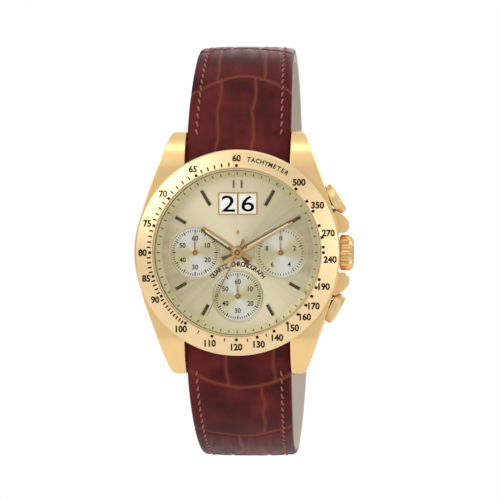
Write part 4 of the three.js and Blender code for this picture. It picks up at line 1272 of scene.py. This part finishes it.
@dataclass
class StrapHalf:
    """Half of the strap: the one that holds the buckle, or the one with the holes."""

    name: str
    line: StrapLine
    scales: Scales
    width: Callable
    thickness: Callable
    span: float
    stitched: tuple
    has_buckle: bool

    def stations(self):
        """Even stations that fall on the holes, with closer ones round the ends."""
        count = int((FIRST_HOLE - 0.2) / STATION)
        first = FIRST_HOLE - count * STATION
        even = np.arange(first, self.span, STATION)
        start = np.linspace(FIRST_STATION, first, 12)[:-1]
        end = np.array([self.span])
        if self.has_buckle:
            end = UPPER_LENGTH + BUCKLE_BARREL_R * np.sin(np.linspace(0, math.pi / 2, 12)) * 0.998
        return np.concatenate([start, even[even < end[0] - 0.05], end])

    def meet_case(self, s, x, lift):
        """Moves the first stations back, so that the end follows the round wall of the case."""
        wall = np.sqrt(END_WALL_R ** 2 - x ** 2)
        low, high = np.full_like(s, -12.0), np.full_like(s, 6.0)
        for _ in range(20):
            middle = (low + high) / 2
            inside = np.abs(self.line.place(middle, x, lift)[..., 1]) < wall
            low, high = np.where(inside, middle, low), np.where(inside, high, middle)
        part = np.clip((END_REACH - s) / (END_REACH - FIRST_STATION), 0, 1)
        return s + part * (high - FIRST_STATION)

    def top(self, s, u):
        """Height of the outer face above the middle line."""
        half = self.width(s) / 2
        bare = 0.5 * self.thickness(s)
        edge = 1 - 0.22 * np.abs(u) ** 3
        fade = 1 - smoothstep(s, self.span - 3, self.span - 1)
        crease = self.scales.crease(s, u, half) * fade
        wrinkle = self.scales.wrinkle(s, u, half) * fade
        from_edge = half - np.abs(u) * half
        sewn = np.exp(-((from_edge - STITCH_INSET) / 0.5) ** 2)
        sewn *= smoothstep(s, self.stitched[0] - 1, self.stitched[0] + 1)
        eased = 0.22 * (1 - smoothstep(from_edge, 0.0, 0.5))
        drop = 0.24 * crease + 0.10 * (wrinkle + 0.4) * fade + 0.2 * sewn + eased
        return np.maximum(bare * edge - drop * smoothstep(bare, 0.2, 0.9), 0.0), crease

    def hole_warp(self, s, x):
        """Turns the grid's square cells about each hole into a circle."""
        s, x = s.copy(), x.copy()
        columns = np.arange(COLUMNS) - COLUMNS // 2  # the middle column is 0
        for i in range(HOLE_COUNT):
            centre = FIRST_HOLE + i * HOLE_PITCH
            a = (s - centre) / STATION / HOLE_CELLS
            b = np.broadcast_to(columns / HOLE_CELLS, a.shape)
            square = np.maximum(np.abs(a), np.abs(b))
            length = np.maximum(np.hypot(a, b), 1e-6)
            weight = (1 - smoothstep(square, 1.0, 2.6)) * (square > 0.99)
            s = s + weight * (a / length * square * HOLE_R + centre - s)
            x = x + weight * (b / length * square * HOLE_R - x)
        return s, x

    def removed(self, stations):
        """Which grid cells are open: the holes, or the slot for the buckle's tongue."""
        mid_s = (stations[:-1] + stations[1:]) / 2
        mid_c = np.arange(COLUMNS - 1) - (COLUMNS - 1) / 2 + 0.5
        if self.has_buckle:
            return (mid_s > UPPER_LENGTH - 2.65)[:, None] & (np.abs(mid_c) < 5)[None, :]
        gone = np.zeros((len(mid_s), len(mid_c)), bool)
        for i in range(HOLE_COUNT):
            centre = FIRST_HOLE + i * HOLE_PITCH
            near = np.abs(mid_s - centre) < HOLE_CELLS * STATION
            gone |= near[:, None] & (np.abs(mid_c) < HOLE_CELLS)[None, :]
        return gone

    def faces(self, rows, gone):
        """Faces of the outer side, the lining, the edges, the holes' walls and the two ends."""
        def at(i, j, k):
            """A corner's number: row i, column j, k steps down from the outer side."""
            if k in (0, SIDE_STEPS):
                return (k // SIDE_STEPS * rows + i) * COLUMNS + j
            side = 0 if j == 0 else SIDE_STEPS - 1
            return (2 * COLUMNS + side + k - 1) * rows + i

        last, under = COLUMNS - 1, SIDE_STEPS
        faces = []
        for i in range(rows - 1):
            for j in range(last):
                if gone[i, j]:
                    continue
                a, b, c, d = (i, j), (i, j + 1), (i + 1, j + 1), (i + 1, j)
                faces.append([at(*corner, 0) for corner in (a, b, c, d)])
                faces.append([at(*corner, under) for corner in (a, d, c, b)])
                walls = [(a, d, (i, j - 1)), (c, b, (i, j + 1)), (b, a, (i - 1, j)), (d, c, (i + 1, j))]
                for start, end, cell in walls:
                    if 0 <= cell[0] < rows - 1 and 0 <= cell[1] < last and gone[cell]:
                        faces.append([at(*start, 0), at(*end, 0), at(*end, under), at(*start, under)])
            for j in (0, last):
                for k in range(under):
                    faces.append([at(i, j, k), at(i + 1, j, k), at(i + 1, j, k + 1), at(i, j, k + 1)])
        for i, inner in ((0, 0), (rows - 1, rows - 2)):
            spans = [(0, last)]
            if gone[inner].any():
                first_gone, last_gone = np.flatnonzero(gone[inner])[[0, -1]]
                spans = [(0, first_gone), (last_gone + 1, last)]
            for begin, stop in spans:
                loop = [at(i, j, 0) for j in range(begin, stop + 1)]
                if stop == last:
                    loop += [at(i, stop, k) for k in range(1, under)]
                loop += [at(i, j, under) for j in range(stop, begin - 1, -1)]
                if begin == 0:
                    loop += [at(i, 0, k) for k in range(under - 1, 0, -1)]
                faces.append(loop)
        return faces

    def build(self):
        stations = self.stations()
        s = np.repeat(stations[:, None], COLUMNS, 1)
        x = np.linspace(-1, 1, COLUMNS)[None, :] * self.width(s) / 2
        if not self.has_buckle:
            s, x = self.hole_warp(s, x)
        u = np.clip(x / (self.width(s) / 2), -1, 1)
        top, crease = self.top(s, u)
        under = -0.5 * self.thickness(s) * (1 - 0.05 * u * u)
        top_s, under_s = self.meet_case(s, x, top), self.meet_case(s, x, under)
        sheets = [(top_s, x, top, crease, 0.0), (under_s, x, under, np.zeros_like(s), 1.0)]
        for column in (0, COLUMNS - 1):
            for k in range(1, SIDE_STEPS):
                part = k / SIDE_STEPS
                near = top_s[:, column] * (1 - part) + under_s[:, column] * part
                lift = top[:, column] * (1 - part) + under[:, column] * part
                bulge = 1 + 0.012 * math.sin(math.pi * part)
                lining = 0.0 if k == 1 else 1.0
                sheets.append((near, x[:, column] * bulge, lift, np.zeros_like(near), lining))
        vertices = [self.line.place(*sheet[:3]).reshape(-1, 3) for sheet in sheets]
        creases = [sheet[3].ravel() for sheet in sheets]
        linings = [np.full(sheet[0].size, sheet[4]) for sheet in sheets]
        faces = self.faces(len(stations), self.removed(stations))
        obj = mesh_object(self.name, np.concatenate(vertices), faces)
        for label, values in (("crease", creases), ("lining", linings)):
            layer = obj.data.attributes.new(label, "FLOAT", "POINT")
            layer.data.foreach_set("value", np.concatenate(values).astype(np.float32))
        return tidy_mesh(obj)

    def stitches(self):
        """Slanted stitches along both edges."""
        marks = Marks()
        count = int((self.stitched[1] - self.stitched[0]) / STITCH_PITCH)
        for i in range(count):
            s = self.stitched[0] + i * STITCH_PITCH
            for sign in (-1, 1):
                marks.add(*skin(self.one_stitch(s, sign)))
        return marks.build(f"{self.name}_stitches")

    def one_stitch(self, s, sign):
        """Rings of a small spindle that follows the outer face."""
        half = float(self.width(np.array(s))) / 2
        sides = 8
        rings = []
        for t in np.linspace(-1, 1, 7):
            swell = 0.21 * math.sqrt(max(1 - abs(t) ** 2.5, 0.03))
            along = s + t * 0.72
            across = sign * (half - STITCH_INSET) + sign * t * 0.16
            lift, _ = self.top(np.array([along]), np.array([across / half]))
            height = lift[0] + 0.10 - 0.16 * t * t
            angles = 2 * math.pi * np.arange(sides) / sides
            spots = self.line.place(np.full(sides, along), across + swell * np.cos(angles),
                                    height + swell * np.sin(angles))
            rings.append(spots.tolist())
        return rings


def tidy_mesh(obj):
    """Drops loose corners and edges with no length, and faces everything outwards."""
    with editing(obj) as work:
        bmesh.ops.delete(work, geom=[v for v in work.verts if not v.link_faces], context="VERTS")
        bmesh.ops.dissolve_degenerate(work, dist=1e-5, edges=work.edges)
        bmesh.ops.recalc_face_normals(work, faces=work.faces)
    return obj


def build_straps():
    upper = StrapHalf("strap_upper_leather", upper_line, Scales(UPPER_ROWS, 3), strap_width,
                      upper_thickness, UPPER_LENGTH + BUCKLE_BARREL_R, (1.5, 76), True)
    lower = StrapHalf("strap_lower_leather", lower_line, Scales(LOWER_ROWS, 8), lower_width,
                      strap_thickness, LOWER_LENGTH, (1.5, 97), False)
    for half, body in ((upper, "strap_upper"), (lower, "strap_lower")):
        leather_piece = finished(half.build(), strap_leather, angle=50)
        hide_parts(body)
        sewn = finished(half.stitches(), thread, angle=60)
        for piece in (leather_piece, sewn):
            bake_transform(piece)


# ---------------- keepers and buckle

BUCKLE_ARM_X = 9.35
BUCKLE_OUTER_X = 10.95
BUCKLE_REACH = 12.5
BUCKLE_T = 1.7
TONGUE_EYE_R = 1.15
FIXED_KEEPER_AT = 74.6
FREE_KEEPER_AT = 67.2


def corner_loop(half, low, high, corner, steps=6):
    """Rounded rectangle as points, the same number whatever its size."""
    points = []
    centres = [(half - corner, low + corner), (half - corner, high - corner)]
    centres += [(-half + corner, high - corner), (-half + corner, low + corner)]
    for quarter, (x, y) in enumerate(centres):
        for i in range(steps + 1):
            a = math.radians(-90 + 90 * quarter + 90 * i / steps)
            points.append((x + corner * math.cos(a), y + corner * math.sin(a)))
    return points


def keeper(name, distance, clearance, body, node):
    """Leather loop with a rounded outer face; its joint lies underneath."""
    half, low, high = STRAP_W_END / 2 + clearance, -END_T / 2 - clearance, END_T / 2 + 2.7
    wall, reach = 0.8, 2.5
    inner = corner_loop(half, low, high, 0.4)
    rings = [[(x, -reach, z) for x, z in inner]]
    for across in np.linspace(-1, 1, 13):
        thick = wall * (1 - 0.35 * abs(across) ** 4)
        outline = corner_loop(half + thick, low - thick, high + thick, 0.4 + thick * 0.85)
        rings.append([(x, across * reach, z) for x, z in outline])
    rings.append([(x, reach, z) for x, z in inner])
    loop = skinned(name, rings, closed=True)
    moved(bevelled(loop, 0.12, 2, 40), upper_line.matrix(distance))
    settle(loop, body, strap_leather, [node], angle=40)


def build_buckle():
    outer, reach = BUCKLE_OUTER_X, BUCKLE_REACH
    half = [(BUCKLE_ARM_X, -1.1), (outer - 0.3, -1.1), (outer, 0), (outer, reach - 3)]
    outline = half + arc(half[-1], (outer, reach - 0.3), (outer - 2.6, reach - 0.2), 10)
    outline += arc(outline[-1], (0, reach + 0.4), (-outer + 2.6, reach - 0.2), 16)
    outline += arc(outline[-1], (-outer, reach - 0.3), (-outer, reach - 3), 10)
    outline += [(-outer, 0), (-outer + 0.3, -1.1), (-BUCKLE_ARM_X, -1.1), (-BUCKLE_ARM_X, reach - 3.2)]
    outline += arc(outline[-1], (-BUCKLE_ARM_X, reach - 2), (-BUCKLE_ARM_X + 1.4, reach - 2), 8)
    outline.append((BUCKLE_ARM_X - 1.4, reach - 2))
    outline += arc(outline[-1], (BUCKLE_ARM_X, reach - 2), (BUCKLE_ARM_X, reach - 3.2), 8)
    place = upper_line.matrix(UPPER_LENGTH)
    bar = prism("buckle_bar", outline, -BUCKLE_T / 2, BUCKLE_T / 2)
    moved(bevelled(bar, 0.4, 4, 40), place)
    settle(bar, "buckle", case_gold, ["buckle_frame"])
    pin = lathe("buckle_pin_rod", [(0, -10.65), (0.55, -10.65), (0.55, 10.65), (0, 10.65)], 0.1, SMALL)
    moved(pin, place @ Matrix.Rotation(math.pi / 2, 4, "Y"))
    settle(pin, "buckle", steel, ["buckle_pin"])
    side = [at_clock(180 + 180 * i / 12, TONGUE_EYE_R) for i in range(13)]
    side += [(2, 1.5), (reach - 0.4, 1.65), (reach, 1.3), (reach - 0.3, 0.95), (2.6, 0.6), (1, -0.7)]
    tongue = prism("buckle_tongue_blade", side, -0.85, 0.85)
    moved(tongue, UPRIGHT)
    moved(bevelled(tongue, 0.22, 3, 35), place)
    settle(tongue, "buckle_tongue", case_gold, ["buckle_tongue"])


# ---------------- CAD nodes that stay

# The parts inside the case are shown as the CAD made them, with a finish of their own.
CAD_FINISHES = {
    "crystal_gasket": gasket_gold,
    "case_back_gasket": rubber,
    "movement_holder": nylon,
    "main_plate": brass,
    "circuit_board": board,
    "battery": nickel,
    "battery_clamp": steel,
    "motor_coil": copper,
    "cannon_pinion": brass,
    "hour_wheel": brass,
    "minute_wheel": brass,
    "crown_tube": crown_gold,
    "clutch_wheel": steel,
    "stem": steel,
    "upper_pusher_tube": crown_gold,
    "lower_pusher_tube": crown_gold,
    "spring_bar_upper": steel,
    "spring_bar_lower": steel,
}


def dress_cad_nodes():
    for name, material in CAD_FINISHES.items():
        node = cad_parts[name]
        node.data.materials.clear()
        node.data.materials.append(material)
        node.data.shade_smooth()
        node.data.set_sharp_from_angle(angle=math.radians(35))
        bevel = node.modifiers.new("edge", "BEVEL")
        bevel.width = 0.03 * MM
        bevel.limit_method = "ANGLE"
        bevel.angle_limit = math.radians(50)


# ---------------- studio

AIM = Vector((0.00235, -0.007, 0.0005))
VIEW_AZIMUTH = math.radians(4.2)
VIEW_DISTANCE = 0.65
LENS = 247.0
FLOOR_Z = -0.12
FLOOR_R = 0.85


def build_floor():
    rim = [at_clock(-360 * i / MEDIUM, FLOOR_R) for i in range(MEDIUM)]
    floor = mesh_object("floor", [(x, y, FLOOR_Z) for x, y in rim], [list(range(MEDIUM))])
    paint = plain_paint("floor_white", (0.85, 0.85, 0.85), 0.7, 0.01, 0.02, 0.0)
    floor.data.materials.append(paint)


def area_light(name, place, size, power, colour=(1, 1, 1)):
    data = bpy.data.lights.new(name, "AREA")
    data.shape = "RECTANGLE"
    data.size, data.size_y = size
    data.energy = power
    data.color = colour
    light = bpy.data.objects.new(name, data)
    bpy.context.scene.collection.objects.link(light)
    light.location = place
    light.rotation_euler = (AIM - Vector(place)).to_track_quat("-Z", "Y").to_euler()


def build_world():
    """White to the camera; a soft grey room, brighter above, in reflections."""
    world = bpy.data.worlds.new("studio")
    bpy.context.scene.world = world
    world.use_nodes = True
    nodes = Nodes(world.node_tree)
    white = (1, 1, 1, 1)
    place = nodes.node("TexCoord").outputs["Generated"]
    height = nodes.node("SeparateXYZ", {0: place}).outputs["Z"]
    strength = nodes.remap(height, 0.38, 0.82, -0.9, 0.9)
    room = nodes.node("Background", {"Color": white, "Strength": strength}).outputs[0]
    backdrop = nodes.node("Background", {"Color": white, "Strength": 1.0}).outputs[0]
    to_camera = nodes.node("LightPath").outputs["Is Camera Ray"]
    seen = nodes.node("MixShader", {0: to_camera, 1: room, 2: backdrop}).outputs[0]
    nodes.feed(world.node_tree.nodes["World Output"], {"Surface": seen})


def build_studio():
    build_floor()
    build_world()
    area_light("key", (-0.55, -0.75, 0.45), (0.55, 0.55), 2.45, (1, 0.98, 0.94))
    area_light("fill", (0.75, -0.6, 0.1), (0.4, 0.7), 2.0)
    area_light("top", (0.0, -0.28, 0.7), (0.7, 0.25), 0.8)
    area_light("back", (0.2, 0.7, 0.4), (0.6, 0.6), 2.5)
    data = bpy.data.cameras.new("camera")
    data.sensor_width = 36
    data.lens = LENS
    camera = bpy.data.objects.new("camera", data)
    bpy.context.scene.collection.objects.link(camera)
    back = Vector((math.sin(VIEW_AZIMUTH), -math.cos(VIEW_AZIMUTH), 0))
    camera.location = AIM + back * VIEW_DISTANCE
    camera.rotation_euler = (-back).to_track_quat("-Z", "Y").to_euler()
    bpy.context.scene.camera = camera
    bpy.context.scene.view_settings.view_transform = "Standard"


# ---------------- the whole watch

build_case()
build_bezel()
build_crystal()
build_flange()
build_case_back()
build_bezel_marks()
build_minute_track()
build_dial()
build_counters()
build_dial_words()
build_date()
build_indices()
build_hands()
build_crown()
build_pushers()
build_straps()
keeper("fixed_keeper_loop", FIXED_KEEPER_AT, 0.2, "strap_upper", "fixed_keeper")
keeper("free_keeper_loop", FREE_KEEPER_AT, 0.35, "free_keeper", "free_keeper")
build_buckle()
dress_cad_nodes()
build_studio()
